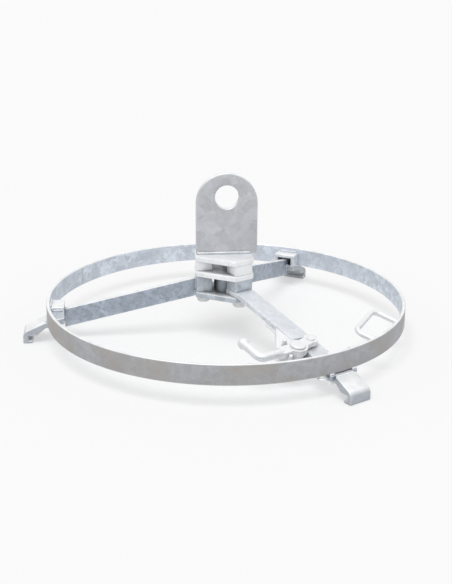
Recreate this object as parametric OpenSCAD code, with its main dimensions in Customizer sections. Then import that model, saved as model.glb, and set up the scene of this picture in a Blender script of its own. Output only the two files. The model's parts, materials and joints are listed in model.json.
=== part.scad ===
// Drum lifting beam: three sloping arms, a hoop, a lifting eye and a
// lever-worked sliding claw, for carrying a steel drum upright by its rim.
// The origin is on the drum's axis, level with the top of the drum's rim.
// The left arm points along -X, the other two 60 degrees either side of +X.

/* [Drum rim] */
// Outside diameter of the rolled rim that the claws hold
rim_d = 585; // [570:1:600]
// Height of the rolled rim below its top edge
rim_bead_h = 7; // [6:0.5:12]

/* [Eye plate] */
// Width of the lifting eye plate
eye_w = 90; // [80:1:96]
// Height of the eye plate above the hub
eye_h = 120; // [100:1:160]
// Thickness of the eye plate
eye_t = 10; // [8:1:12]
// Diameter of the hole for the hoist hook
eye_hole_d = 35; // [25:1:45]

/* [Hub] */
// Distance from the axis to each cut-off corner of the hub plates
hub_corner_r = 46; // [44:1:50]
// Half the width of each cut-off corner
hub_corner_half_w = 16; // [15:1:18]
// Thickness of the hub plates
hub_plate_t = 8; // [6:1:10]
// Gap between the upper two hub plates
hub_gap = 15; // [12:1:20]
// Height of the middle plate's underside above the rim
hub_mid_z = 86; // [84:1:90]
// Distance of the hub bolts from the axis
hub_bolt_r = 34; // [33:1:36]

/* [Arms] */
// Width of the front arm's flat bar
arm_w = 30; // [28:1:32]
// Thickness of the arm bars
arm_t = 8; // [7:1:9]
// Height of the left and rear arms' bars, which stand on edge
edge_bar_h = 27; // [24:1:30]
// Slope of the arms below level, in degrees
arm_slope = 12.75; // [11:0.25:14]
// Distance from the axis where the arms bend level
arm_bend_r = 50; // [49:1:55]
// Distance from the axis where arms end and claws begin
arm_end_r = 270; // [269:1:272]

/* [Hoop] */
// Outside diameter of the hoop
ring_d = 532; // [528:1:534]
// Wall thickness of the hoop
ring_t = 5; // [4:0.5:6]
// Height of the hoop's bar
ring_h = 29.4; // [26:0.1:34]
// Height of the hoop's lower edge above the drum's rim
ring_z = 21.85; // [21:0.05:24]

/* [Claws] */
// Width of the claws
claw_w = 35; // [32:1:40]
// Thickness of the claws outside the rim
claw_wall = 7.3; // [6:0.1:9]
// Reach of the claw toes under the rim
toe_reach = 5; // [4:0.5:6]

/* [Hand grip] */
// Diameter of the grip's rod
grip_rod_d = 8; // [7:0.5:10]
// Length of the grip between the middles of its legs
grip_span = 88; // [80:1:100]
// Distance of the grip's crossbar from the axis
grip_r = 215; // [210:1:225]
// Height of the grip's crossbar
grip_z = 43; // [38:1:46]
// Direction of the grip from the axis, in degrees
grip_angle = -29; // [-34:1:-24]

/* [Clamp lever] */
// Distance of the lever's pivot from the axis, along the arm
pivot_r = 202; // [201:1:203]
// Distance of the pivot from the middle of the arm
pivot_side = 28; // [27:1:30]
// Distance from the pivot to the drive peg
peg_throw = 30; // [29:1:31]
// Angle of the drive peg behind square when the claw is shut
peg_lead = 15; // [14:1:16]
// Turn of the lever from shut to open, in degrees
lever_turn = 50; // [45:1:50]
// Diameter of the lever's rod handle
handle_rod_d = 12; // [10:1:13]

/* [Hidden] */
$fn = 96;

LEFT = 180;
REAR = 60;
FRONT = -60;
ARMS = [LEFT, REAR, FRONT];
FIXED_ARMS = [LEFT, REAR];

bright = "#d6d9dc";
plain = "#b7bbbe";
warm = "#ada8a2";
dark = "#8d9193";

rim_r = rim_d / 2;
ring_r = ring_d / 2;
ring_inner_r = ring_r - ring_t;
ring_top_z = ring_z + ring_h;

// The arms' top faces pass a weld gap below the hoop
weld_gap = 0.25;
arm_peak_z = ring_z - weld_gap + ring_inner_r * tan(arm_slope);
tail_top_z = arm_peak_z - arm_bend_r * tan(arm_slope);
tail_r = 20;

// Levels of the hub stack, from the bottom up
hub_floor_z = tail_top_z - arm_t - hub_plate_t;
hub_gap_z = hub_mid_z + hub_plate_t;
hub_top_z = hub_gap_z + hub_gap;
eye_z = hub_top_z + hub_plate_t;
block_inner_r = 22;
block_outer_r = hub_corner_r - 1;
core_r = 18;
tenon_w = 40;
tenon_gap = 0.2;
tenon_show = 2;

// Metric fasteners: shank radius, width across flats, head, nut and washer
m12_r = 6;
m12_flats = 18;
m12_head = 7.5;
m12_nut = 6;
m12_washer_r = 12;
m12_washer_t = 2.5;
m8_r = 4;
m8_flats = 13;
m8_head = 5.3;
m6_r = 3;
m6_flats = 10;
m6_head = 4;
m6_nut = 5;
m6_washer_r = 6;
m6_washer_t = 1.6;
hole_play = 0.5;
blind_floor = 1;

// Front arm: a fixed inner half and a sliding outer half
fixed_end_r = 177;
slide_start_r = 181;
slide_side_play = 0.15;
slide_top_w = -0.6;
slide_bottom_w = -arm_t + 0.2;
slide_half_w = arm_w / 2 - 0.1;
plate_t = 6;
plate_start_r = 118;
plate_bolt_rs = [128, 158];
cheek_start_r = 228;
cheek_end_r = 268;
cheek_w = 8;
cheek_inner = slide_half_w + slide_side_play + 0.1;
cheek_outer = cheek_inner + cheek_w;
cheek_mid = (cheek_inner + cheek_outer) / 2;
keeper_start_r = 232;
keeper_end_r = 248;
keeper_t = 5;
guide_bolt_r = 240;

// Left and rear arms: the bar stands on edge and laps the claw's bar inside a bracket
edge_bar_top_w = (edge_bar_h - arm_t) / 2;
edge_bar_bottom_w = edge_bar_top_w - edge_bar_h;
edge_bar_end_r = 258;
edge_bar_bevel = 2;
bracket_start_r = 240;
bracket_top_z = 44;
cap_t = 5;

// Ribs and lugs between the arms and the hoop
rib_t = 6;
lug_top_z = ring_top_z - 1.25;
lug_slant = 6;
lug_start_r = 250;

// Lever, in the plane of the arm's top face
lever_w = 1;
lever_t = 8;
lever_eye_r = 14;
peg_eye_r = 10;
peg_r = 4;
peg_head_r = 6;
peg_head_t = 1.5;
pivot_head_r = 11;
pivot_head_t = 3;
bush_r = 7;
bush_play = 0.7;
running_play = 0.05;
pivot_bush_r = 10;
spring_washer_t = 2;
lever_bar_w = 16;
lever_bar_l = 30;
handle_leg = 24.5;
handle_end_leg = 30.5;
handle_bend_r = 8;
handle_ball_r = 8;
stop_pin_r = 3;
stop_pin_reach = 20;
stop_play = 0.2;
stop_pin_top = 6;
pivot_nut_w = -arm_t - plate_t - spring_washer_t - m12_nut;
handle_dir = [0, -1];
peg_at = [-peg_throw * sin(peg_lead), peg_throw * cos(peg_lead)];

// Sideways travel of the peg over the lever's turn, for the slide's slot
peg_side_high = peg_throw - pivot_side;
peg_side_low = peg_throw * cos(lever_turn - peg_lead) - pivot_side;

// Distance along the sloping arm for a distance from the axis
function slant(r) = r / cos(arm_slope);

// [radius, height] of a point on the arm, w above its top face
function arm_point(r, w) =
    [r + w * sin(arm_slope), arm_peak_z - r * tan(arm_slope) + w * cos(arm_slope)];

// [radius, height] straight above or below the point at that radius on the arm's top
// face, as far as lies w above that face
function bar_point(r, w) = [r, arm_peak_z - r * tan(arm_slope) + w / cos(arm_slope)];

function turned(v, a) = [v.x * cos(a) - v.y * sin(a), v.x * sin(a) + v.y * cos(a)];

// Lays children on an arm: +X out along it, +Y across, +Z out of its top face
module on_arm(angle) {
    rotate([0, 0, angle])
        translate([0, 0, arm_peak_z])
            rotate([0, arm_slope, 0])
                children();
}

// Makes a bar from an outline of [radius, height] points, side mm off the arm's middle
module across_arm(angle, width, side = 0) {
    rotate([0, 0, angle])
        translate([0, side, 0])
            rotate([90, 0, 0])
                linear_extrude(width, center = true)
                    children();
}

module at_pivot() {
    on_arm(FRONT) translate([slant(pivot_r), -pivot_side, 0]) children();
}

module hexagon_bar(flats, height) {
    cylinder(d = flats / cos(30), h = height, $fn = 6);
}

module washer(outer_r, inner_r, height) {
    difference() {
        cylinder(r = outer_r, h = height);
        translate([0, 0, -1]) cylinder(r = inner_r, h = height + 2);
    }
}

// Hexagon bolt pointing up from the seat at z = 0, with its head below
module bolt_up(shank_r, length, flats, head) {
    cylinder(r = shank_r, h = length);
    translate([0, 0, -head]) hexagon_bar(flats, head);
}

// Flat bar outline between two points
module bar_outline(from, to, width) {
    run = to - from;
    translate(from)
        rotate([0, 0, atan2(run.y, run.x)])
            translate([0, -width / 2])
                square([norm(run), width]);
}

// Straight round rod in the XY plane
module rod(from, to, radius) {
    run = to - from;
    translate([from.x, from.y, 0])
        rotate([0, 0, atan2(run.y, run.x)])
            rotate([0, 90, 0])
                cylinder(r = radius, h = norm(run));
}

// Round rod in the XY plane from one point to another with one rounded corner
module bent_rod(from, corner, to, bend_r, radius) {
    into = (corner - from) / norm(corner - from);
    out = (to - corner) / norm(to - corner);
    turn = acos(into * out);
    side = sign(into.x * out.y - into.y * out.x);
    back = bend_r * tan(turn / 2);
    bend_from = corner - into * back;
    bend_to = corner + out * back;
    middle = bend_from + side * bend_r * [-into.y, into.x];
    first = side > 0 ? bend_from : bend_to;
    start = atan2(first.y - middle.y, first.x - middle.x);
    rod(from, bend_from, radius);
    rod(bend_to, to, radius);
    translate([middle.x, middle.y, 0])
        rotate([0, 0, start])
            rotate_extrude(angle = turn)
                translate([bend_r, 0])
                    circle(r = radius, $fn = 48);
}

// Three-cornered hub plate with its corners cut off square to the arms
module hub_plate(z) {
    translate([0, 0, z])
        linear_extrude(hub_plate_t)
            polygon([
                for (angle = [0 : 120 : 240], side = [-1, 1])
                    turned([hub_corner_r, side * hub_corner_half_w], angle + REAR)
            ]);
}

module hub_bolt_holes(z, depth, radius) {
    for (angle = ARMS)
        rotate([0, 0, angle])
            translate([hub_bolt_r, 0, z])
                cylinder(r = radius, h = depth);
}

module hub_blocks(bottom_z, top_z, angles = ARMS) {
    difference() {
        for (angle = angles)
            rotate([0, 0, angle])
                translate([block_inner_r, -arm_w / 2, bottom_z])
                    cube([block_outer_r - block_inner_r, arm_w, top_z - bottom_z]);
        hub_bolt_holes(bottom_z - 1, top_z - bottom_z + 2, m12_r + hole_play);
    }
}

// Bar on edge from the hub's block and bottom plate to the bracket at the hoop
module edge_bar(angle) {
    floor_top_z = hub_floor_z + hub_plate_t;
    across_arm(angle, arm_t)
        polygon([
            bar_point(block_outer_r, edge_bar_top_w),
            bar_point(edge_bar_end_r, edge_bar_top_w),
            bar_point(edge_bar_end_r, 0),
            bar_point(bracket_start_r, 0),
            bar_point(bracket_start_r, edge_bar_bottom_w),
            bar_point(hub_corner_r + edge_bar_bevel, edge_bar_bottom_w),
            [hub_corner_r, hub_floor_z],
            [hub_corner_r, floor_top_z],
            [block_outer_r, floor_top_z]
        ]);
}

// Hook over and under the drum's rim, with a flat bar inwards to inner_end if given
module claw(angle, inner_end = []) {
    rim_play = 1.7;
    rim_top_play = 0.8;
    toe_t = 4;
    toe_round = 1.2;
    inner = rim_r + rim_play;
    outer = inner + claw_wall;
    toe_tip = rim_r - toe_reach;
    toe_top = -rim_bead_h;
    across_arm(angle, claw_w)
        polygon(concat([
            arm_point(arm_end_r, 0),
            [outer - 4, 6.8],
            [outer - 1.5, 5.2],
            [outer, 2.5],
            [outer, toe_top - toe_t + toe_round],
            [outer - toe_round, toe_top - toe_t],
            [toe_tip + toe_round, toe_top - toe_t],
            [toe_tip, toe_top - toe_t + toe_round],
            [toe_tip, toe_top - toe_round],
            [toe_tip + toe_round, toe_top],
            [inner, toe_top],
            [inner, rim_top_play],
            [rim_r - 11.5, rim_top_play],
            arm_point(arm_end_r, -arm_t)
        ], inner_end));
}

module fixed_claw(angle) {
    claw(angle, [bar_point(bracket_start_r, -arm_t), bar_point(bracket_start_r, 0)]);
}

module eye_plate() {
    shoulder_z = eye_z + eye_h - eye_w / 2;
    hole_z = eye_z + eye_h - 35;
    color(plain)
        difference() {
            union() {
                translate([-eye_w / 2, -eye_t / 2, eye_z])
                    cube([eye_w, eye_t, shoulder_z - eye_z]);
                translate([0, 0, shoulder_z])
                    rotate([90, 0, 0])
                        cylinder(d = eye_w, h = eye_t, center = true);
                translate([-tenon_w / 2, -eye_t / 2, hub_top_z - tenon_show])
                    cube([tenon_w, eye_t, hub_plate_t + tenon_show]);
            }
            translate([0, 0, hole_z])
                rotate([90, 0, 0])
                    cylinder(d = eye_hole_d, h = eye_t + 2, center = true);
        }
}

module hub_top_plate() {
    slot_w = tenon_w + 2 * tenon_gap;
    slot_t = eye_t + 2 * tenon_gap;
    color(bright)
        difference() {
            hub_plate(hub_top_z);
            translate([-slot_w / 2, -slot_t / 2, hub_top_z - 1])
                cube([slot_w, slot_t, hub_plate_t + 2]);
            hub_bolt_holes(hub_top_z - 1, hub_plate_t + 1 - blind_floor, m12_r);
        }
}

module hub_upper_blocks() {
    color(bright) hub_blocks(hub_gap_z, hub_top_z);
}

module hub_mid_plate() {
    color(bright)
        difference() {
            hub_plate(hub_mid_z);
            hub_bolt_holes(hub_mid_z - 1, hub_plate_t + 2, m12_r + hole_play);
        }
}

module hub_lower_blocks() {
    color(plain) {
        hub_blocks(tail_top_z, hub_mid_z, [FRONT]);
        hub_blocks(tail_top_z - arm_t, hub_mid_z, FIXED_ARMS);
    }
}

module hub_core() {
    core_z = hub_floor_z + hub_plate_t;
    color(dark)
        translate([0, 0, core_z])
            washer(core_r, core_r - 5, hub_mid_z - core_z);
}

module hub_bottom_plate() {
    color(plain)
        difference() {
            hub_plate(hub_floor_z);
            hub_bolt_holes(hub_floor_z - 1, hub_plate_t + 2, m12_r + hole_play);
        }
}

module hub_bolts() {
    seat_z = hub_floor_z - m12_washer_t;
    color(dark)
        for (angle = ARMS)
            rotate([0, 0, angle])
                translate([hub_bolt_r, 0, seat_z])
                    bolt_up(m12_r, eye_z - blind_floor - seat_z, m12_flats, m12_head);
}

module hub_washers() {
    color(bright)
        for (angle = ARMS)
            rotate([0, 0, angle])
                translate([hub_bolt_r, 0, hub_floor_z - m12_washer_t])
                    washer(m12_washer_r, m12_r + hole_play, m12_washer_t);
}

module arm_left() {
    color(plain) edge_bar(LEFT);
}

module arm_rear() {
    color(plain) edge_bar(REAR);
}

// Flat bar from its level tail in the hub to the slide
module arm_front() {
    mitre = arm_t * tan(arm_slope / 2);
    color(plain)
        difference() {
            across_arm(FRONT, arm_w)
                polygon([
                    [tail_r, tail_top_z],
                    [arm_bend_r, tail_top_z],
                    arm_point(fixed_end_r, 0),
                    arm_point(fixed_end_r, -arm_t),
                    [arm_bend_r - mitre, tail_top_z - arm_t],
                    [tail_r, tail_top_z - arm_t]
                ]);
            rotate([0, 0, FRONT])
                translate([hub_bolt_r, 0, tail_top_z - arm_t - 1])
                    cylinder(r = m12_r + hole_play, h = arm_t + 2);
            on_arm(FRONT)
                for (r = plate_bolt_rs)
                    translate([slant(r), 0, -arm_t - 1])
                        cylinder(r = m8_r, h = arm_t + 1 - blind_floor);
        }
}

module claw_left() {
    color(bright) fixed_claw(LEFT);
}

module claw_rear() {
    color(bright) fixed_claw(REAR);
}

module claw_front() {
    color(bright) claw(FRONT);
}

// Sliding half of the front arm, with the cross slot for the peg's bush
module slide_bar() {
    length = slant(arm_end_r) - slant(slide_start_r);
    slot_half_w = bush_r + bush_play;
    peg_s = slant(pivot_r) + peg_at.x;
    color(bright)
        on_arm(FRONT)
            difference() {
                translate([slant(slide_start_r), -slide_half_w, slide_bottom_w])
                    cube([length, 2 * slide_half_w, slide_top_w - slide_bottom_w]);
                translate([peg_s, 0, slide_bottom_w - 1])
                    linear_extrude(arm_t + 2) {
                        for (side = [peg_side_low, peg_side_high])
                            translate([0, side]) circle(r = slot_half_w);
                        translate([-slot_half_w, peg_side_low])
                            square([2 * slot_half_w, peg_side_high - peg_side_low]);
                    }
            }
}

module ring() {
    color(warm)
        translate([0, 0, ring_z])
            difference() {
                cylinder(r = ring_r, h = ring_h, $fn = 180);
                translate([0, 0, -1]) cylinder(r = ring_inner_r, h = ring_h + 2, $fn = 180);
            }
}

// Keeps what lies inside the hoop
module inside_hoop() {
    intersection() {
        children();
        cylinder(r = ring_inner_r, h = ring_top_z, $fn = 180);
    }
}

// Side plates of the brackets that hold the left and rear arms to the hoop
module ring_ribs() {
    side = (claw_w - rib_t) / 2;
    color(bright)
        inside_hoop()
            for (angle = FIXED_ARMS, direction = [-1, 1])
                across_arm(angle, rib_t, direction * side)
                    polygon([
                        bar_point(bracket_start_r, 0),
                        bar_point(ring_r, 0),
                        [ring_r, bracket_top_z - cap_t],
                        [bracket_start_r, bracket_top_z - cap_t]
                    ]);
}

module ring_caps() {
    color(bright)
        inside_hoop()
            for (angle = FIXED_ARMS)
                across_arm(angle, claw_w)
                    translate([bracket_start_r, bracket_top_z - cap_t])
                        square([ring_r - bracket_start_r, cap_t]);
}

// Upright plates that hold the front arm's guide cheeks to the hoop
module ring_lugs() {
    color(bright)
        inside_hoop()
            for (direction = [-1, 1])
                across_arm(FRONT, rib_t, direction * cheek_mid)
                    polygon([
                        arm_point(lug_start_r, 0),
                        arm_point(ring_r, 0),
                        [ring_r, lug_top_z],
                        [lug_start_r + lug_slant, lug_top_z],
                        [lug_start_r, lug_top_z - lug_slant]
                    ]);
}

module hand_grip() {
    drop = 14;
    leg = sqrt(pow(ring_inner_r, 2) - pow(grip_span / 2, 2)) - grip_r;
    tilt = atan(drop / leg);
    corner_r = 12;
    end_x = leg / cos(tilt) + 10;
    color(bright)
        intersection() {
            rotate([0, 0, grip_angle])
                translate([grip_r, 0, grip_z])
                    rotate([0, tilt, 0])
                        for (side = [-1, 1])
                            bent_rod([end_x, side * grip_span / 2], [0, side * grip_span / 2],
                                [0, 0], corner_r, grip_rod_d / 2);
            cylinder(r = ring_inner_r, h = ring_top_z + 20, $fn = 180);
        }
}

// Plate under the front arm, with the wing that carries the lever's pivot
module guide_plate() {
    color(bright)
        on_arm(FRONT)
            difference() {
                translate([0, 0, -arm_t - plate_t])
                    linear_extrude(plate_t)
                        polygon([
                            [slant(plate_start_r), -arm_w / 2],
                            [slant(140), -arm_w / 2],
                            [slant(181), -46],
                            [slant(188), -55],
                            [slant(214), -58],
                            [slant(222), -52],
                            [slant(cheek_start_r), -cheek_outer],
                            [slant(cheek_end_r), -cheek_outer],
                            [slant(cheek_end_r), cheek_outer],
                            [slant(cheek_start_r), cheek_outer],
                            [slant(cheek_start_r), arm_w / 2],
                            [slant(plate_start_r), arm_w / 2]
                        ]);
                plate_holes();
            }
}

// Plate beside the front arm that fills the corner between the arm and the wing
module guide_gusset() {
    notch_play = 0.4;
    color(bright)
        on_arm(FRONT)
            translate([0, 0, -arm_t])
                linear_extrude(plate_t)
                    difference() {
                        polygon([
                            [slant(140), -arm_w / 2],
                            [slant(181), -46],
                            [slant(184), -50],
                            [slant(fixed_end_r), -arm_w / 2]
                        ]);
                        translate([slant(pivot_r), -pivot_side])
                            translate(stop_pin_places()[1])
                                circle(r = stop_pin_r + notch_play);
                    }
}

module plate_holes() {
    bottom = -arm_t - plate_t - 1;
    for (r = plate_bolt_rs)
        translate([slant(r), 0, bottom]) cylinder(r = m8_r + hole_play, h = plate_t + 2);
    for (side = [-1, 1])
        translate([slant(guide_bolt_r), side * cheek_mid, bottom])
            cylinder(r = m6_r + hole_play, h = plate_t + 2);
    translate([slant(pivot_r), -pivot_side, bottom]) cylinder(r = m12_r, h = plate_t + 2);
    for (centre = stop_pin_places())
        translate([slant(pivot_r) + centre.x, centre.y - pivot_side, bottom])
            cylinder(r = stop_pin_r, h = plate_t + 2);
}

module guide_cheeks() {
    color(plain)
        on_arm(FRONT)
            for (side = [-1, 1])
                difference() {
                    translate([slant(cheek_start_r), side * cheek_mid - cheek_w / 2, -arm_t])
                        cube([slant(cheek_end_r) - slant(cheek_start_r), cheek_w, arm_t]);
                    translate([slant(guide_bolt_r), side * cheek_mid, -arm_t - 1])
                        cylinder(r = m6_r + hole_play, h = arm_t + 2);
                }
}

module guide_keeper() {
    color(bright)
        on_arm(FRONT)
            difference() {
                translate([slant(keeper_start_r), -cheek_outer, 0])
                    cube([slant(keeper_end_r) - slant(keeper_start_r), 2 * cheek_outer, keeper_t]);
                for (side = [-1, 1])
                    translate([slant(guide_bolt_r), side * cheek_mid, -1])
                        cylinder(r = m6_r + hole_play, h = keeper_t + 2);
            }
}

module at_guide_bolts(w) {
    on_arm(FRONT)
        for (side = [-1, 1])
            translate([slant(guide_bolt_r), side * cheek_mid, w])
                children();
}

module guide_bolts() {
    grip = m6_washer_t + keeper_t + arm_t + plate_t;
    color(dark)
        at_guide_bolts(keeper_t + m6_washer_t)
            mirror([0, 0, 1])
                bolt_up(m6_r, grip + m6_nut + 1, m6_flats, m6_head);
}

module guide_washers() {
    color(bright)
        at_guide_bolts(keeper_t)
            washer(m6_washer_r, m6_r + hole_play, m6_washer_t);
}

module guide_nuts() {
    color(dark)
        at_guide_bolts(-arm_t - plate_t - m6_nut)
            difference() {
                hexagon_bar(m6_flats, m6_nut);
                translate([0, 0, -1]) cylinder(r = m6_r, h = m6_nut + 2);
            }
}

module plate_bolts() {
    color(dark)
        on_arm(FRONT)
            for (r = plate_bolt_rs)
                translate([slant(r), 0, -arm_t - plate_t])
                    bolt_up(m8_r, plate_t + arm_t - blind_floor, m8_flats, m8_head);
}

module pivot_bush() {
    color(plain)
        at_pivot()
            translate([0, 0, -arm_t])
                washer(pivot_bush_r, m12_r, arm_t + lever_w);
}

// Flat-headed bolt through the lever, with its nut under the guide plate
module pivot_bolt() {
    seat = lever_w + lever_t;
    bottom = pivot_nut_w - 1;
    color(dark)
        at_pivot() {
            translate([0, 0, bottom]) cylinder(r = m12_r, h = seat - bottom);
            translate([0, 0, seat]) cylinder(r = pivot_head_r, h = pivot_head_t);
        }
}

module pivot_spring_washer() {
    color(bright)
        at_pivot()
            translate([0, 0, pivot_nut_w + m12_nut])
                washer(m12_washer_r - 1, m12_r, spring_washer_t);
}

module pivot_nut() {
    color(bright)
        at_pivot()
            translate([0, 0, pivot_nut_w])
                difference() {
                    hexagon_bar(m12_flats, m12_nut);
                    translate([0, 0, -1]) cylinder(r = m12_r, h = m12_nut + 2);
                }
}

module lever() {
    color(bright)
        at_pivot()
            translate([0, 0, lever_w])
                linear_extrude(lever_t)
                    difference() {
                        union() {
                            circle(r = lever_eye_r);
                            translate(peg_at) circle(r = peg_eye_r);
                            bar_outline([0, 0], peg_at, lever_bar_w);
                            bar_outline([0, 0], handle_dir * lever_bar_l, lever_bar_w);
                        }
                        circle(r = m12_r + running_play);
                        translate(peg_at) circle(r = peg_r);
                    }
}

// Round rod that goes on from the lever's bar, turns square and ends in a ball
module lever_handle() {
    rod_r = handle_rod_d / 2;
    color(bright)
        at_pivot()
            translate([-handle_bend_r, -lever_bar_l - handle_leg, lever_w + lever_t / 2])
                mirror([0, 1, 0]) {
                    rotate_extrude(angle = 90)
                        translate([handle_bend_r, 0])
                            circle(r = rod_r);
                    translate([handle_bend_r, 0, 0])
                        rotate([90, 0, 0])
                            cylinder(r = rod_r, h = handle_leg);
                    translate([0, handle_bend_r, 0])
                        rotate([0, -90, 0])
                            cylinder(r = rod_r, h = handle_end_leg);
                    translate([-handle_end_leg, handle_bend_r, 0])
                        sphere(r = handle_ball_r);
                }
}

module drive_peg() {
    bottom = -arm_t + 0.4;
    color(dark)
        at_pivot()
            translate([peg_at.x, peg_at.y, 0]) {
                translate([0, 0, bottom])
                    cylinder(r = peg_r, h = lever_w + lever_t - bottom);
                translate([0, 0, lever_w + lever_t])
                    cylinder(r = peg_head_r, h = peg_head_t);
            }
}

module peg_bush() {
    bottom = -arm_t + 0.4;
    color(plain)
        at_pivot()
            translate([peg_at.x, peg_at.y, bottom])
                washer(bush_r, peg_r, lever_w - 0.2 - bottom);
}

// Stop pins beside the lever's bar, where it lies when shut and when open
function stop_pin_places() =
    let (
        aside = lever_bar_w / 2 + stop_pin_r + stop_play,
        open_dir = turned(handle_dir, -lever_turn)
    )
    [
        handle_dir * stop_pin_reach + aside * turned(handle_dir, 90),
        open_dir * stop_pin_reach + aside * turned(open_dir, -90)
    ];

module stop_pins() {
    color(dark)
        at_pivot()
            for (centre = stop_pin_places())
                translate([centre.x, centre.y, -arm_t - plate_t])
                    cylinder(r = stop_pin_r, h = arm_t + plate_t + stop_pin_top);
}

module tether_eye() {
    loop_r = 6;
    wire_r = 1.75;
    loop_side = cheek_outer + loop_r + wire_r + 1;
    color(bright)
        on_arm(FRONT)
            translate([slant(260), -loop_side, -arm_t / 2]) {
                rotate_extrude() translate([loop_r, 0]) circle(r = wire_r, $fn = 32);
                translate([0, loop_r, 0])
                    rotate([-90, 0, 0])
                        cylinder(r = wire_r, h = loop_side - cheek_outer - loop_r, $fn = 32);
            }
}

eye_plate();
hub_top_plate();
hub_upper_blocks();
hub_mid_plate();
hub_lower_blocks();
hub_core();
hub_bottom_plate();
hub_bolts();
hub_washers();
arm_left();
arm_rear();
arm_front();
claw_left();
claw_rear();
claw_front();
slide_bar();
ring();
ring_ribs();
ring_lugs();
ring_caps();
hand_grip();
guide_plate();
guide_gusset();
guide_cheeks();
guide_keeper();
guide_bolts();
guide_washers();
guide_nuts();
plate_bolts();
pivot_bush();
pivot_bolt();
pivot_spring_washer();
pivot_nut();
lever();
lever_handle();
drive_peg();
peg_bush();
stop_pins();
tether_eye();
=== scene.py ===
"""Dresses the drum lifting beam: galvanised plates, bars, rods, welds and fasteners."""
import json
import math

import bmesh
import bpy
from bpy.props import FloatProperty, FloatVectorProperty, IntProperty, PointerProperty
from mathutils import Matrix, Vector

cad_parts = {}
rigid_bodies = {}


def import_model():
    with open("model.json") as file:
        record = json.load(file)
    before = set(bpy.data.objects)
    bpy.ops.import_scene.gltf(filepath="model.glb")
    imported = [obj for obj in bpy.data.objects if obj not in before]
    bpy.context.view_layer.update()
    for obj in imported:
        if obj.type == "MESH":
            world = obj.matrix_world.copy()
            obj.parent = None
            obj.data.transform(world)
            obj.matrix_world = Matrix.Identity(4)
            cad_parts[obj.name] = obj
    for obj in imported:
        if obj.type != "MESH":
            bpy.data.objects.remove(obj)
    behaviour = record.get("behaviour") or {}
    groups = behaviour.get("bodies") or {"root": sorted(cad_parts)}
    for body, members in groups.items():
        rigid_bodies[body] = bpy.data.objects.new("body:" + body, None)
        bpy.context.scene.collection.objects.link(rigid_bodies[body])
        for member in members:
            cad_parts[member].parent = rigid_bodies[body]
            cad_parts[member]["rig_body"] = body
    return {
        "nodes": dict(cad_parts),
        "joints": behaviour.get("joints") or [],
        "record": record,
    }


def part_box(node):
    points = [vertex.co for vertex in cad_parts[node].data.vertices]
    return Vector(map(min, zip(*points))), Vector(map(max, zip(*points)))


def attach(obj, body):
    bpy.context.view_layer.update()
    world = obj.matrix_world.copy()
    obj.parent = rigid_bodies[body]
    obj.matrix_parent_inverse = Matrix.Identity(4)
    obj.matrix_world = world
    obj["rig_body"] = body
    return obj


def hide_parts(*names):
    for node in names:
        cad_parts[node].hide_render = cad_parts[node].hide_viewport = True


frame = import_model()

bl_info = {
    "name": "Drum Lifting Beam",
    "version": (1, 0, 0),
    "blender": (4, 5, 0),
    "location": "3D View > Sidebar > Lifting Beam",
    "description": "Builds a galvanised drum lifting beam: a hoop, three claws, a clamp lever",
    "category": "Object",
}

mm = 0.001

# The three arms, by their direction from the axis
LEFT = math.radians(180)
REAR = math.radians(60)
FRONT = math.radians(-60)
ARMS = {"left": LEFT, "rear": REAR, "front": FRONT}
FIXED_ARMS = {"left": LEFT, "rear": REAR}


# Places read from the frame

def joint(name):
    return next(j for j in frame["joints"] if j["name"] == name)


def mount(name):
    return next(m for m in frame["record"]["mounts"] if m["name"] == name)


def local_points(node, matrix):
    """A node's vertices in the axes that a matrix gives."""
    inverse = matrix.inverted()
    return [inverse @ v.co for v in frame["nodes"][node].data.vertices]


def local_box(node, matrix):
    """Lowest and highest corner of a node in the axes that a matrix gives."""
    points = local_points(node, matrix)
    low = Vector([min(p[i] for p in points) for i in range(3)])
    high = Vector([max(p[i] for p in points) for i in range(3)])
    return low, high


def level(angle):
    """Axes with X along an arm's direction and Z up."""
    return Matrix.Rotation(angle, 4, "Z")


SLOPE = -math.asin(joint("claw_slide")["axis"][2])


def arm_top_height():
    """Height at which the arms' sloping top faces would meet the axis."""
    out = Vector((math.sin(SLOPE), 0, math.cos(SLOPE)))
    return max(p.dot(out) for p in local_points("arm_front", level(FRONT))) / math.cos(SLOPE)


ARM_PEAK = arm_top_height()


def on_arm(angle):
    """Axes on an arm: X out along it, Y across it and Z out of its top face."""
    return (
        level(angle)
        @ Matrix.Translation((0, 0, ARM_PEAK))
        @ Matrix.Rotation(SLOPE, 4, "Y")
    )


def arm_point(r, w=0.0):
    """Point of an arm's side outline, r from the axis and w above its top face."""
    return Vector((
        r + w * math.sin(SLOPE),
        0,
        ARM_PEAK - r * math.tan(SLOPE) + w * math.cos(SLOPE),
    ))


def bar_point(r, w=0.0):
    """Point straight above or below the arm's top face at r, as far as lies w above it."""
    return Vector((r, 0, ARM_PEAK - r * math.tan(SLOPE) + w / math.cos(SLOPE)))


def slant(r):
    """Distance along the sloping arm for a distance from the axis."""
    return r / math.cos(SLOPE)


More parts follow.
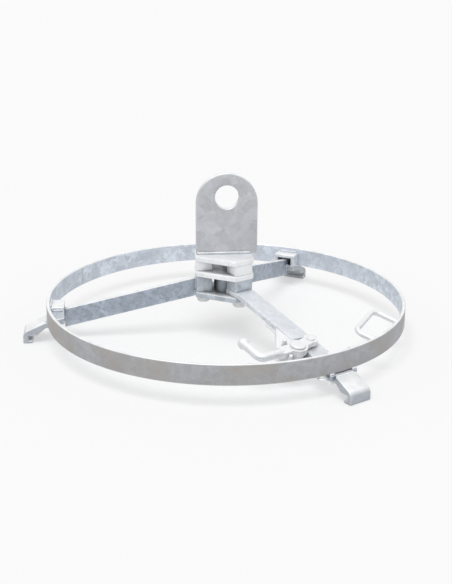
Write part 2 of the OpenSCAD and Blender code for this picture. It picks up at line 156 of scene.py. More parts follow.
EYE_LOW, EYE_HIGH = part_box("eye_plate")
EYE_HOLE = mount("eye_hole")
RING_LOW, RING_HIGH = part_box("ring")
RING_R = RING_HIGH.x
RING_INNER_R = min(p.xy.length for p in local_points("ring", Matrix()))
TOP_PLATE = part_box("hub_top_plate")
MID_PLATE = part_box("hub_mid_plate")
FLOOR_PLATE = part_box("hub_bottom_plate")
CORNER_R = local_box("hub_mid_plate", level(LEFT))[1].x
TAIL_LOW, TAIL_HIGH = local_box("arm_front", level(FRONT))
FRONT_END_R = local_box("arm_front", on_arm(FRONT))[1].x * math.cos(SLOPE)
ARM_END_R = local_box("claw_front", on_arm(FRONT))[0].x * math.cos(SLOPE)
ARM_T = TAIL_HIGH.z - FLOOR_PLATE[1].z
ARM_HALF_W = TAIL_HIGH.y
BEND_R = (ARM_PEAK - TAIL_HIGH.z) / math.tan(SLOPE)
EDGE_LOW, EDGE_HIGH = local_box("arm_left", level(LEFT))
EDGE_BOTTOM_W = local_box("arm_left", on_arm(LEFT))[0].z
EDGE_TOP_W = local_box("arm_left", on_arm(LEFT))[1].z
CLAW_LOW, CLAW_HIGH = local_box("claw_left", level(LEFT))
BRACKET_R = CLAW_LOW.x
CAP_LOW, CAP_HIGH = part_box("ring_caps")
LUG_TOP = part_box("ring_lugs")[1].z
PIVOT = on_arm(FRONT).inverted() @ Vector(joint("lever_turn")["pos_m"])
AT_PIVOT = on_arm(FRONT) @ Matrix.Translation((PIVOT.x, PIVOT.y, 0))
LEVER_LOW, LEVER_HIGH = local_box("lever", AT_PIVOT)
PEG_LOW, PEG_HIGH = local_box("drive_peg", AT_PIVOT)
PEG_AT = (PEG_LOW + PEG_HIGH) / 2
PLATE_LOW, PLATE_HIGH = local_box("guide_plate", on_arm(FRONT))
CHEEK_LOW, CHEEK_HIGH = local_box("guide_cheeks", on_arm(FRONT))
KEEPER_LOW, KEEPER_HIGH = local_box("guide_keeper", on_arm(FRONT))
SLIDE_LOW, SLIDE_HIGH = local_box("slide_bar", on_arm(FRONT))
PIN_LOW, PIN_HIGH = local_box("stop_pins", on_arm(FRONT))

# Sizes that several pieces share
TENON_HALF_W = 20 * mm
HUB_BOLT_HOLE_R = 6.5 * mm
HUB_WASHER_R = 12 * mm
CHEEK_W = 8 * mm
CHEEK_MID = CHEEK_HIGH.y - CHEEK_W / 2
BRACKET_PLATE_T = 6 * mm
GRIP_HALF_SPAN = 44 * mm
PEG_R = 4 * mm
M12_R = 6 * mm
M12_FLATS = 18 * mm
M8_R = 4 * mm
M8_FLATS = 13 * mm
M6_R = 3 * mm
M6_FLATS = 10 * mm


# Settings that a user may change

class BeamSizes(bpy.types.PropertyGroup):
    plate_edge: FloatProperty(
        name="Plate edge", description="Rounding of the plates' edges",
        default=1.0 * mm, unit="LENGTH")
    bar_edge: FloatProperty(
        name="Bar edge", description="Rounding of the rolled bars' edges",
        default=1.4 * mm, unit="LENGTH")
    hoop_edge: FloatProperty(
        name="Hoop edge", description="Rounding of the hoop's edges",
        default=1.5 * mm, unit="LENGTH")
    hoop_steps: IntProperty(
        name="Hoop steps", description="Segments round the hoop", default=240)
    claw_bend: FloatProperty(
        name="Claw bend", description="Rounding of the claws' outer corner, along its sides",
        default=6.0 * mm, unit="LENGTH")
    weld_size: FloatProperty(
        name="Weld size", description="Radius of the weld seams",
        default=2.6 * mm, unit="LENGTH")
    weld_pitch: FloatProperty(
        name="Weld pitch", description="Distance between the ripples of a weld",
        default=2.4 * mm, unit="LENGTH")
    thread_pitch: FloatProperty(
        name="Thread pitch", description="Distance between thread turns",
        default=1.25 * mm, unit="LENGTH")


class BeamColours(bpy.types.PropertyGroup):
    plate: FloatVectorProperty(
        name="Eye plate", description="Matt zinc of the eye plate",
        default=(0.56, 0.57, 0.60), subtype="COLOR", size=3, min=0, max=1)
    # Near white in part as painted highlight: the strong light on the hub's plates is painted into
    # this colour
    hub: FloatVectorProperty(
        name="Hub", description="Bright zinc of the hub and the guide plate",
        default=(0.93, 0.95, 0.98), subtype="COLOR", size=3, min=0, max=1)
    block: FloatVectorProperty(
        name="Hub blocks", description="Duller zinc of the blocks in the hub",
        default=(0.52, 0.56, 0.61), subtype="COLOR", size=3, min=0, max=1)
    core: FloatVectorProperty(
        name="Hub core", description="Dark zinc of the tube inside the hub",
        default=(0.34, 0.37, 0.41), subtype="COLOR", size=3, min=0, max=1)
    arm: FloatVectorProperty(
        name="Arms", description="Spangled zinc of the arms",
        default=(0.41, 0.46, 0.53), subtype="COLOR", size=3, min=0, max=1)
    # Painted light: the front arm and its slide bar take a lighter copy of the arm zinc, for the
    # light on their upper faces
    front_arm_lit: FloatVectorProperty(
        name="Front arm lit", description="Zinc painted lighter for the light on the arms' upper faces",
        default=(0.75, 0.78, 0.82), subtype="COLOR", size=3, min=0, max=1)
    # Painted light: the colour that faces looking up are brightened to, for the light from above
    top_light: FloatVectorProperty(
        name="Painted top light", description="Painted light on all other faces that look up",
        default=(0.94, 0.95, 0.96), subtype="COLOR", size=3, min=0, max=1)
    claw: FloatVectorProperty(
        name="Claws", description="Zinc of the claws' upright faces",
        default=(0.45, 0.48, 0.52), subtype="COLOR", size=3, min=0, max=1)
    bracket: FloatVectorProperty(
        name="Brackets", description="Bright zinc of the brackets inside the hoop",
        default=(0.74, 0.78, 0.82), subtype="COLOR", size=3, min=0, max=1)
    hoop: FloatVectorProperty(
        name="Hoop", description="Dull zinc of the hoop's outer face",
        default=(0.40, 0.41, 0.43), subtype="COLOR", size=3, min=0, max=1)
    hoop_stain: FloatVectorProperty(
        name="Hoop stain", description="Warm dull patches on the hoop's outer face",
        default=(0.41, 0.375, 0.345), subtype="COLOR", size=3, min=0, max=1)
    # Painted light and reflection: the hoop's inner face is painted lighter and cooler than its
    # outer face
    hoop_inside_lit: FloatVectorProperty(
        name="Hoop inside", description="Zinc, painted lighter and cooler, on the hoop's inner face",
        default=(0.69, 0.74, 0.81), subtype="COLOR", size=3, min=0, max=1)
    lever: FloatVectorProperty(
        name="Lever", description="Bright zinc of the lever and the rods",
        default=(0.80, 0.81, 0.82), subtype="COLOR", size=3, min=0, max=1)
    fastener: FloatVectorProperty(
        name="Fasteners", description="Plated steel of bolts, nuts and washers",
        default=(0.72, 0.72, 0.72), subtype="COLOR", size=3, min=0, max=1)


class StageSettings(bpy.types.PropertyGroup):
    camera_place: FloatVectorProperty(
        name="Camera place", description="Where the camera stands",
        default=(-0.1625, -1.5461, 0.6081), subtype="TRANSLATION", size=3, unit="LENGTH")
    camera_aim: FloatVectorProperty(
        name="Camera aim", description="Point that the camera looks at",
        default=(0, 0, 0.055), subtype="TRANSLATION", size=3, unit="LENGTH")
    camera_roll: FloatProperty(
        name="Camera roll", description="Tilt of the camera about its own axis",
        default=math.radians(0.46), unit="ROTATION")
    lens: FloatProperty(
        name="Lens", description="Focal length in millimetres on a 36 mm sensor", default=68.0)
    floor_size: FloatProperty(
        name="Floor size", description="Width of the floor", default=40.0, unit="LENGTH")
    sun_strength: FloatProperty(
        name="Sun strength", description="Strength of the soft overhead lamp", default=1.4)
    room_strength: FloatProperty(
        name="Room strength", description="Strength of the light from all around", default=0.55)
    backdrop: FloatProperty(
        name="Backdrop", description="Paleness of the backdrop, where 1 is white", default=0.96)


# Modelling helpers

def clear_selection():
    """Object mode with nothing selected."""
    if bpy.context.object is not None and bpy.context.object.mode != "OBJECT":
        bpy.ops.object.mode_set(mode="OBJECT")
    bpy.ops.object.select_all(action="DESELECT")


def take(obj):
    """Makes one object the only selected and active one."""
    clear_selection()
    obj.select_set(True)
    bpy.context.view_layer.objects.active = obj


def begin(name):
    """Names the primitive just added and opens it in edit mode, selected all over."""
    obj = bpy.context.object
    obj.name = name
    bpy.ops.object.transform_apply(location=True, rotation=True, scale=True)
    bpy.ops.object.mode_set(mode="EDIT")
    bpy.ops.mesh.select_mode(type="VERT")
    bpy.ops.mesh.select_all(action="SELECT")
    return obj


def end_edit():
    bpy.ops.object.mode_set(mode="OBJECT")


def pick(obj, kind, wanted):
    """Selects the vertices, edges or faces that pass a test, in edit mode."""
    bpy.ops.mesh.select_mode(type=kind)
    bpy.ops.mesh.select_all(action="DESELECT")
    mesh = bmesh.from_edit_mesh(obj.data)
    parts = {"VERT": mesh.verts, "EDGE": mesh.edges, "FACE": mesh.faces}[kind]
    for part in parts:
        if wanted(part):
            part.select_set(True)
    bmesh.update_edit_mesh(obj.data)


def push(way):
    """Extrudes what is selected by a vector."""
    bpy.ops.mesh.extrude_region_move(TRANSFORM_OT_translate={"value": way})


def block(name, low, high):
    """A box between two corners."""
    clear_selection()
    low = Vector(low)
    high = Vector(high)
    bpy.ops.mesh.primitive_cube_add(size=1, location=(low + high) / 2, scale=high - low)
    obj = begin(name)
    end_edit()
    return obj


def disc(name, radius, bottom, top, centre=(0, 0), sides=64):
    """An upright round bar or a cutter for a round hole."""
    clear_selection()
    bpy.ops.mesh.primitive_cylinder_add(
        vertices=sides, radius=radius, depth=top - bottom,
        location=(*centre, (bottom + top) / 2))
    obj = begin(name)
    end_edit()
    return obj


def trace_plate(name, outline, depth):
    """A plate whose outline is drawn by extruding one corner from place to place."""
    clear_selection()
    bpy.ops.mesh.primitive_plane_add(size=mm)
    obj = begin(name)
    bpy.ops.mesh.merge(type="CENTER")
    bpy.ops.transform.translate(value=outline[0])
    for here, there in zip(outline, outline[1:]):
        push(there - here)
    bpy.ops.mesh.select_all(action="SELECT")
    bpy.ops.mesh.edge_face_add()
    push(depth)
    bpy.ops.mesh.select_all(action="SELECT")
    bpy.ops.mesh.normals_make_consistent(inside=False)
    end_edit()
    return obj


def side_plate(name, outline, width):
    """A plate drawn in an arm's side view and made as wide as given, about its middle."""
    start = Vector((0, -width / 2, 0))
    return trace_plate(name, [Vector(p) + start for p in outline], Vector((0, width, 0)))


def bevel_picked(offset, segments, kind="OFFSET"):
    bpy.ops.mesh.bevel(affect="EDGES", offset_type=kind, offset=offset, segments=segments)


# Least part of a direction that lies along an axis, for an edge or a face to count as in line
IN_LINE = 0.9


def edge_middle(edge):
    return (edge.verts[0].co + edge.verts[1].co) / 2


def edge_way(edge):
    return (edge.verts[0].co - edge.verts[1].co).normalized()


def apply_modifier(obj, kind, **values):
    """Adds a modifier, sets it and applies it."""
    modifier = obj.modifiers.new("work", kind)
    for key, value in values.items():
        setattr(modifier, key, value)
    take(obj)
    bpy.ops.object.modifier_apply(modifier=modifier.name)


def round_edges(obj, width, segments=3, angle=30):
    apply_modifier(
        obj, "BEVEL", width=width, segments=segments, limit_method="ANGLE",
        angle_limit=math.radians(angle), miter_outer="MITER_ARC")


def carve(obj, cutter, operation="DIFFERENCE"):
    """Cuts, joins or trims a piece with another, which is used up."""
    apply_modifier(obj, "BOOLEAN", operation=operation, solver="EXACT", object=cutter)
    bpy.data.objects.remove(cutter)


def drill(obj, radius, centre, bottom, top):
    carve(obj, disc("cutter", radius, bottom, top, centre))


def place(obj, matrix):
    """Moves a piece's mesh by a matrix; its object stays at the origin."""
    take(obj)
    obj.matrix_world = matrix
    bpy.ops.object.transform_apply(location=True, rotation=True, scale=True)


def twin(obj, matrix):
    """A copy with its own mesh, moved by a matrix."""
    take(obj)
    bpy.ops.object.duplicate(linked=False)
    copy = bpy.context.object
    place(copy, matrix)
    return copy


def repeat(obj, places):
    """One object of copies of a piece at each place; the piece itself is used up."""
    copies = [twin(obj, matrix) for matrix in places]
    bpy.data.objects.remove(obj)
    return join(copies)


def both_sides(matrix, distance):
    """Two places, at a distance to either side of an arm's middle."""
    return [matrix @ Matrix.Translation((0, side * distance, 0)) for side in (-1, 1)]


def join(parts):
    """Makes one object of several."""
    clear_selection()
    for part in parts:
        part.select_set(True)
    bpy.context.view_layer.objects.active = parts[0]
    if len(parts) > 1:
        bpy.ops.object.join()
    return parts[0]


def home_body(node):
    return frame["nodes"][node]["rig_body"]


def hand_over(obj, name, slot, nodes=(), body=None, finish=None):
    """Names a finished piece, gives it its slot's finish or another, lets it ride its body."""
    sharp_from = math.radians(32)
    take(obj)
    bpy.ops.object.shade_smooth_by_angle(angle=sharp_from)
    obj.name = name
    obj.data.name = name
    obj.data.materials.clear()
    obj.data.materials.append(finish_for(finish or slot))
    if nodes:
        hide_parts(*nodes)
        body = home_body(nodes[0])
    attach(obj, body)


def bend_rod(name, radius, start, way, moves, sides=28):
    """A round rod: each move is a straight length, or a turn of (angle, bend radius, axis)."""
    clear_selection()
    here = Vector(start)
    way = Vector(way).normalized()
    turn_to_way = way.to_track_quat("Z", "Y").to_matrix().to_4x4()
    bpy.ops.mesh.primitive_circle_add(vertices=sides, radius=radius, fill_type="NGON")
    bpy.context.object.matrix_world = Matrix.Translation(here) @ turn_to_way
    obj = begin(name)
    bend_steps = 10
    for move in moves:
        if isinstance(move, (int, float)):
            push(way * move)
            here = here + way * move
            continue
        angle, bend_radius, axis = move
        axis = Vector(axis).normalized()
        centre = here + axis.cross(way) * bend_radius
        bpy.ops.mesh.spin(steps=bend_steps, angle=angle, center=centre, axis=-axis)
        turn = Matrix.Rotation(angle, 3, axis)
        here = centre + turn @ (here - centre)
        way = turn @ way
    bpy.ops.mesh.select_all(action="SELECT")
    bpy.ops.mesh.normals_make_consistent(inside=False)
    end_edit()
    return obj


def tube_ring(name, inner, outer, bottom, top, edge):
    """A washer: a rectangle with rounded corners turned about an upright axis."""
    clear_selection()
    bpy.ops.mesh.primitive_plane_add(
        size=1, rotation=(math.pi / 2, 0, 0),
        location=((inner + outer) / 2, 0, (bottom + top) / 2))
    bpy.context.object.scale = (outer - inner, top - bottom, 1)
    obj = begin(name)
    bpy.ops.mesh.bevel(affect="VERTICES", offset=edge, segments=2)
    bpy.ops.mesh.select_all(action="SELECT")
    bpy.ops.mesh.delete(type="ONLY_FACE")
    spin_round(steps=48)
    end_edit()
    return obj


def spin_round(steps):
    """Turns an open profile once round the Z axis and closes it."""
    bpy.ops.mesh.select_all(action="SELECT")
    bpy.ops.mesh.spin(
        steps=steps, angle=2 * math.pi, center=(0, 0, 0), axis=(0, 0, 1), use_auto_merge=True)
    bpy.ops.mesh.select_all(action="SELECT")
    bpy.ops.mesh.remove_doubles(threshold=0.01 * mm)
    bpy.ops.mesh.normals_make_consistent(inside=False)


# Fasteners

def hexagon(name, flats, height, both_ends=False):
    """A hexagon with its corners turned off at a slant, its foot at z = 0."""
    corner_r = flats / 2 / math.cos(math.pi / 6)
    turned = 0.12 * flats
    lens_r = 1.01 * corner_r
    obj = disc(name, corner_r, 0, height, sides=6)
    bottom = 0 if both_ends else -height
    lens = disc("lens", lens_r, bottom, height, sides=60)
    take(lens)
    bpy.ops.object.mode_set(mode="EDIT")
    pick(lens, "EDGE", lambda e: abs(edge_way(e).z) < 0.5 and (
        edge_middle(e).z > height / 2 or both_ends))
    bevel_picked(turned, segments=1)
    end_edit()
    carve(obj, lens, "INTERSECT")
    return obj


def threaded_end(name, radius, bottom, top, pitch):
    """A threaded stretch: ring after ring drawn up with its crests and roots."""
    depth = 0.6 * pitch
    turns = max(1, round((top - bottom) / pitch))
    rise = (top - bottom) / turns
    flank = 0.45 * rise
    crest = 0.1 * rise
    root = (radius - depth) / radius
    clear_selection()
    bpy.ops.mesh.primitive_circle_add(vertices=36, radius=radius - depth, fill_type="NGON")
    obj = begin(name)
    for _ in range(turns):
        push((0, 0, flank))
        bpy.ops.transform.resize(value=(1 / root, 1 / root, 1))
        push((0, 0, crest))
        push((0, 0, flank))
        bpy.ops.transform.resize(value=(root, root, 1))
    bpy.ops.mesh.select_all(action="SELECT")
    bpy.ops.mesh.normals_make_consistent(inside=False)
    end_edit()
    place(obj, Matrix.Translation((0, 0, bottom)))
    return obj


def bolt(name, radius, length, flats, head, thread=0.0, pitch=1.0 * mm):
    """A hexagon bolt with its seat at z = 0, its head below and its end above."""
    hexagon_head = hexagon(name, flats, head)
    place(hexagon_head, Matrix.Rotation(math.pi, 4, "X"))
    shank = disc("shank", radius, -head / 2, length - thread, sides=36)
    parts = [hexagon_head, shank]
    if thread:
        parts.append(threaded_end("thread", radius, length - thread, length, pitch))
    return join(parts)


# Finishes

def feed(links, value, target):
    """Sets a socket to a number, or links another socket to it."""
    if isinstance(value, (int, float)):
        target.default_value = value
    else:
        links.new(value, target)


def math_node(nodes, links, operation, *values, clamp=False):
    """Result of a sum on numbers or sockets."""
    node = nodes.new("ShaderNodeMath")
    node.operation = operation
    node.use_clamp = clamp
    for target, value in zip(node.inputs, values):
        feed(links, value, target)
    return node.outputs[0]


def map_node(nodes, links, value, from_low, from_high, to_low, to_high):
    node = nodes.new("ShaderNodeMapRange")
    node.clamp = True
    links.new(value, node.inputs["Value"])
    for name, number in (
        ("From Min", from_low), ("From Max", from_high), ("To Min", to_low), ("To Max", to_high)
    ):
        node.inputs[name].default_value = number
    return node.outputs["Result"]


def mix_colours(nodes, links, factor, first, second):
    """Mix of two colours, each a tuple or a socket."""
    node = nodes.new("ShaderNodeMix")
    node.data_type = "RGBA"
    links.new(factor, node.inputs["Factor"])
    for name, value in (("A", first), ("B", second)):
        target = next(i for i in node.inputs if i.name == name and i.type == "RGBA")
        if isinstance(value, (tuple, list)):
            target.default_value = (*value, 1)
        else:
            links.new(value, target)
    return next(o for o in node.outputs if o.type == "RGBA")


def noise_node(nodes, links, vector, scale, detail, roughness=0.5):
    node = nodes.new("ShaderNodeTexNoise")
    links.new(vector, node.inputs["Vector"])
    for name, value in (("Scale", scale), ("Detail", detail), ("Roughness", roughness)):
        feed(links, value, node.inputs[name])
    return node.outputs


def cell_values(nodes, links, vector, scale):
    """Random values for each cell of a crystal pattern."""
    cells = nodes.new("ShaderNodeTexVoronoi")
    links.new(vector, cells.inputs["Vector"])
    links.new(scale, cells.inputs["Scale"])
    split = nodes.new("ShaderNodeSeparateColor")
    links.new(cells.outputs["Color"], split.inputs[0])
    return split.outputs


def break_up(nodes, links, mask, vector, scale, detail, low, high, least):
    """A mask made weaker in soft patches, down to a least share of it."""
    patches = noise_node(nodes, links, vector, scale, detail)["Fac"]
    share = map_node(nodes, links, patches, low, high, least, 1.0)
    return math_node(nodes, links, "MULTIPLY", mask, share, clamp=True)


def zinc_spangle(nodes, links, given, result):
    """Zinc crystals: a shade for each crystal, feathered inside."""
    wander = 4 * mm
    fine_scale = 2.7
    large_share = 0.55
    small_share = 0.3
    feather_share = 0.3
    drift = noise_node(nodes, links, given["Vector"], scale=160.0, detail=2.0)["Color"]
    shift = nodes.new("ShaderNodeVectorMath")
    shift.operation = "MULTIPLY_ADD"
    links.new(drift, shift.inputs[0])
    shift.inputs[1].default_value = (wander, wander, wander)
    links.new(given["Vector"], shift.inputs[2])
    where = shift.outputs[0]
    coarse = given["Crystals per metre"]
    fine = math_node(nodes, links, "MULTIPLY", coarse, fine_scale)
    large = cell_values(nodes, links, where, coarse)[0]
    small = cell_values(nodes, links, where, fine)[1]
    feather = noise_node(nodes, links, where, scale=700.0, detail=3.0)["Fac"]
    shade = math_node(nodes, links, "MULTIPLY", large, large_share)
    shade = math_node(nodes, links, "MULTIPLY_ADD", small, small_share, shade)
    shade = math_node(nodes, links, "MULTIPLY_ADD", feather, feather_share, shade)
    links.new(map_node(nodes, links, shade, 0.15, 0.95, 0.0, 1.0), result["Shade"])


def worn_edges_and_highlights(nodes, links, given, result):
    """Where edges and corners are worn bright, with a painted highlight along them."""
    rounded = nodes.new("ShaderNodeBevel")
    rounded.samples = 6
    links.new(given["Width"], rounded.inputs["Radius"])
    surface = nodes.new("ShaderNodeNewGeometry")
    likeness = nodes.new("ShaderNodeVectorMath")
    likeness.operation = "DOT_PRODUCT"
    links.new(rounded.outputs["Normal"], likeness.inputs[0])
    links.new(surface.outputs["True Normal"], likeness.inputs[1])
    bare = map_node(nodes, links, likeness.outputs["Value"], 0.995, 0.9, 0.0, 1.0)
    worn = break_up(
        nodes, links, bare, given["Vector"], scale=90.0, detail=4.0, low=0.25, high=0.6,
        least=0.35)
    links.new(worn, result["Mask"])


def weathered_zinc(nodes, links, given, result):
    """Dull zinc oxide in soft patches, dark specks and fine grain."""
    where = given["Vector"]
    cloud = noise_node(
        nodes, links, where, given["Patches per metre"], detail=5.0, roughness=0.6)["Fac"]
    links.new(map_node(nodes, links, cloud, 0.42, 0.68, 0.0, 1.0), result["Oxide"])
    dots = noise_node(nodes, links, where, scale=420.0, detail=2.0, roughness=0.7)["Fac"]
    links.new(map_node(nodes, links, dots, 0.6, 0.72, 0.0, 1.0), result["Speckle"])
    grain = noise_node(nodes, links, where, scale=1500.0, detail=3.0, roughness=0.6)["Fac"]
    links.new(grain, result["Grain"])


def painted_top_light(nodes, links, given, result):
    """Painted light: faces that look up, made brighter for the light that falls on them from above.
    """
    surface = nodes.new("ShaderNodeNewGeometry")
    split = nodes.new("ShaderNodeSeparateXYZ")
    links.new(surface.outputs["Normal"], split.inputs[0])
    up = map_node(nodes, links, split.outputs["Z"], 0.35, 0.85, 0.0, 1.0)
    lit_tops = break_up(
        nodes, links, up, given["Vector"], scale=55.0, detail=4.0, low=0.3, high=0.6,
        least=0.78)
    links.new(lit_tops, result["Mask"])


def painted_crevice_shade(nodes, links, given, result):
    """Painted shade: gaps and inner corners, darkened where ambient occlusion finds them hidden."""
    shelter = nodes.new("ShaderNodeAmbientOcclusion")
    shelter.samples = 8
    links.new(given["Reach"], shelter.inputs["Distance"])
    hidden = map_node(nodes, links, shelter.outputs["AO"], 0.75, 0.2, 0.0, 1.0)
    occluded_patches = break_up(
        nodes, links, hidden, given["Vector"], scale=120.0, detail=3.0, low=0.2, high=0.6,
        least=0.7)
    links.new(occluded_patches, result["Mask"])


# Each shared effect: what lays out its nodes, its inputs with usual, lowest and highest
# value, and its outputs
EFFECTS = {
    "Zinc Spangle": (
        zinc_spangle, [("Crystals per metre", 110.0, 1.0, 2000.0)], ["Shade"]),
    "Worn Edges and Highlights": (worn_edges_and_highlights, [("Width", 1.5 * mm, 0.0, 20 * mm)], ["Mask"]),
    "Weathered Zinc": (
        weathered_zinc, [("Patches per metre", 18.0, 0.1, 500.0)],
        ["Oxide", "Speckle", "Grain"]),
    "Painted Top Light": (painted_top_light, [], ["Mask"]),
    "Painted Crevice Shade": (painted_crevice_shade, [("Reach", 12 * mm, 0.0, 200 * mm)], ["Mask"]),
}


def effect_group(name):
    """The node group of a shared effect, made once."""
    group = bpy.data.node_groups.get(name)
    if group:
        return group
    lay_out, inputs, outputs = EFFECTS[name]
    group = bpy.data.node_groups.new(name, "ShaderNodeTree")
    sockets = group.interface
    sockets.new_socket(name="Vector", in_out="INPUT", socket_type="NodeSocketVector")
    for title, usual, lowest, highest in inputs:
        item = sockets.new_socket(name=title, in_out="INPUT", socket_type="NodeSocketFloat")
        item.default_value = usual
        item.min_value = lowest
        item.max_value = highest
    for title in outputs:
        sockets.new_socket(name=title, in_out="OUTPUT", socket_type="NodeSocketFloat")
    start = group.nodes.new("NodeGroupInput")
    end = group.nodes.new("NodeGroupOutput")
    lay_out(group.nodes, group.links, start.outputs, end.inputs)
    return group


def within_hoop(nodes, links, where):
    """1 on the hoop's inner face, 0 elsewhere on it."""
    flat = nodes.new("ShaderNodeVectorMath")
    flat.operation = "MULTIPLY"
    links.new(where, flat.inputs[0])
    flat.inputs[1].default_value = (1, 1, 0)
    length = nodes.new("ShaderNodeVectorMath")
    length.operation = "LENGTH"
    links.new(flat.outputs["Vector"], length.inputs[0])
    inside_to = RING_INNER_R + 0.3 * mm
    outside_from = RING_INNER_R + 1.2 * mm
    return map_node(nodes, links, length.outputs["Value"], inside_to, outside_from, 1.0, 0.0)


def effect(nodes, links, name, vector, **values):
    """Outputs of a shared effect, placed in a material."""
    node = nodes.new("ShaderNodeGroup")
    node.node_tree = effect_group(name)
    links.new(vector, node.inputs["Vector"])
    for title, value in values.items():
        node.inputs[title.replace("_", " ")].default_value = value
    return node.outputs


def scaled(colour, factor):
    return tuple(min(1.0, c * factor) for c in colour)


def zinc(name, colour, top, inner=None, stain=None, crystals=110.0, contrast=0.35,
         oxide=0.25, rough=0.42, crevice_shade=0.6, reach=12 * mm):
    """Hot-dip zinc: crystals, dull patches, painted light on faces that look up, worn edges with a
    painted highlight, painted shade in crevices and fine grain.
    """
    worn_highlight = (0.9, 0.9, 0.9)
    worn_highlight_share = 0.85
    dull_shade = 0.78
    inner_dull_shade = 0.8
    speck_share = 0.25
    speck_shade = 0.55
    crevice_darkness = 0.25
    inner_contrast = 1.6 * contrast
    top_light_contrast = contrast / 3
    material = bpy.data.materials.new(name)
    material.use_nodes = True
    material.diffuse_color = (*colour, 1)
    nodes = material.node_tree.nodes
    links = material.node_tree.links
    surface = nodes["Principled BSDF"]
    surface.inputs["Metallic"].default_value = 0.5
    where = nodes.new("ShaderNodeTexCoord").outputs["Object"]
    shade = effect(nodes, links, "Zinc Spangle", where, Crystals_per_metre=crystals)["Shade"]
    edges = effect(nodes, links, "Worn Edges and Highlights", where)["Mask"]
    weather = effect(nodes, links, "Weathered Zinc", where)
    top_light_mask = effect(nodes, links, "Painted Top Light", where)["Mask"]
    shaded_crevices = effect(nodes, links, "Painted Crevice Shade", where, Reach=reach)["Mask"]

    def crystal_mix(middle, spread):
        return mix_colours(
            nodes, links, shade, scaled(middle, 1 - spread), scaled(middle, 1 + spread))

    def lay_over(below, mask, share, above):
        amount = math_node(nodes, links, "MULTIPLY", mask, share)
        return mix_colours(nodes, links, amount, below, above)

    base = lay_over(
        crystal_mix(colour, contrast), weather["Oxide"], 2 * oxide,
        stain or scaled(colour, dull_shade))
    # The hoop's inner face takes its own lighter, cooler colour: painted light and reflection
    if inner:
        inside = lay_over(
            crystal_mix(inner, inner_contrast), weather["Oxide"], 2 * oxide,
            scaled(inner, inner_dull_shade))
        base = mix_colours(nodes, links, within_hoop(nodes, links, where), base, inside)
    base = lay_over(base, weather["Speckle"], speck_share, scaled(colour, speck_shade))
    # Painted light: faces that look up take the lighter top colour
    base = mix_colours(nodes, links, top_light_mask, base, crystal_mix(top, top_light_contrast))
    # Edges: worn bright, and a painted highlight
    base = lay_over(base, edges, worn_highlight_share, worn_highlight)
    # Painted shade in crevices, found by ambient occlusion
    base = lay_over(base, shaded_crevices, crevice_shade, scaled(colour, crevice_darkness))
    links.new(base, surface.inputs["Base Color"])

    edge_polish = -0.12
    oxide_dullness = 0.12
    smoothest = rough - 0.07
    roughest = rough + 0.09
    matt = map_node(nodes, links, shade, 0, 1, smoothest, roughest)
    matt = math_node(nodes, links, "MULTIPLY_ADD", edges, edge_polish, matt)
    matt = math_node(nodes, links, "MULTIPLY_ADD", weather["Oxide"], oxide_dullness, matt)
    links.new(matt, surface.inputs["Roughness"])

    grain_share = 0.35
    bumped = nodes.new("ShaderNodeBump")
    bumped.inputs["Strength"].default_value = 0.12
    bumped.inputs["Distance"].default_value = 0.5 * mm
    relief = math_node(nodes, links, "MULTIPLY_ADD", weather["Grain"], grain_share, shade)
    links.new(relief, bumped.inputs["Height"])
    links.new(bumped.outputs["Normal"], surface.inputs["Normal"])
    return material


def finish_for(slot):
    """The material of a slot, or of a finish that only some of its pieces have, made once."""
    made = bpy.data.materials.get(f"zinc_{slot}")
    if made:
        return made
    colours = bpy.context.scene.beam_colours
    white = colours.top_light
    # Hub plates: near white in part as painted highlight, with a strong share of painted crevice
    # shade
    hub = dict(
        colour=colours.hub, top=white, contrast=0.06, oxide=0.08, rough=0.45, crevice_shade=0.95)
    bright = dict(
        colour=colours.lever, top=white, contrast=0.1, oxide=0.1, rough=0.4, crevice_shade=0.15)
    recipes = {
        "eye_plate": dict(
            colour=colours.plate, top=white, crystals=70.0, contrast=0.15, oxide=0.2,
            rough=0.5),
        "hub_plate": dict(hub, reach=20 * mm),
        "hub_gap_block": dict(hub, reach=28 * mm),
        "hub_block": dict(
            colour=colours.block, top=white, contrast=0.25, rough=0.5, crevice_shade=0.95,
            reach=30 * mm),
        "hub_core": dict(colour=colours.core, top=colours.block, contrast=0.2, rough=0.5),
        "bright_plate": dict(
            colour=colours.hub, top=white, contrast=0.06, oxide=0.08, crevice_shade=0.15),
        "arm": dict(
            colour=colours.arm, top=white, crystals=160.0, contrast=0.3, rough=0.45),
        # Painted light: a lighter copy of the arm zinc, for the light on the front arm's upper face
        "front_arm": dict(
            colour=colours.front_arm_lit, top=colours.front_arm_lit, crystals=160.0, contrast=0.2,
            rough=0.45, crevice_shade=0.4),
        "claw": dict(
            colour=colours.claw, top=white, contrast=0.12, oxide=0.15, rough=0.45, crevice_shade=0.3),
        "ring": dict(
            colour=colours.hoop, top=white, inner=colours.hoop_inside_lit,
            stain=colours.hoop_stain, crystals=120.0, contrast=0.14, oxide=0.4, rough=0.5,
            crevice_shade=0.2),
        "bracket": dict(
            colour=colours.bracket, top=white, contrast=0.15, rough=0.45, crevice_shade=0.15),
        "lever": bright,
        "rod": bright,
        "fastener": dict(
            colour=colours.fastener, top=white, crystals=300.0, contrast=0.12, rough=0.38,
            crevice_shade=0.15),
    }
    recipe = dict(recipes[slot])
    for key in ("colour", "top", "inner", "stain"):
        if key in recipe:
            recipe[key] = tuple(recipe[key])
    return zinc(f"zinc_{slot}", **recipe)


# Pieces, one operator each

class PieceOperator(bpy.types.Operator):
    """Base of the operators that make the beam's pieces."""
    bl_options = {"REGISTER", "UNDO"}

    def execute(self, context):
        self.make(context.scene.beam_sizes)
        return {"FINISHED"}


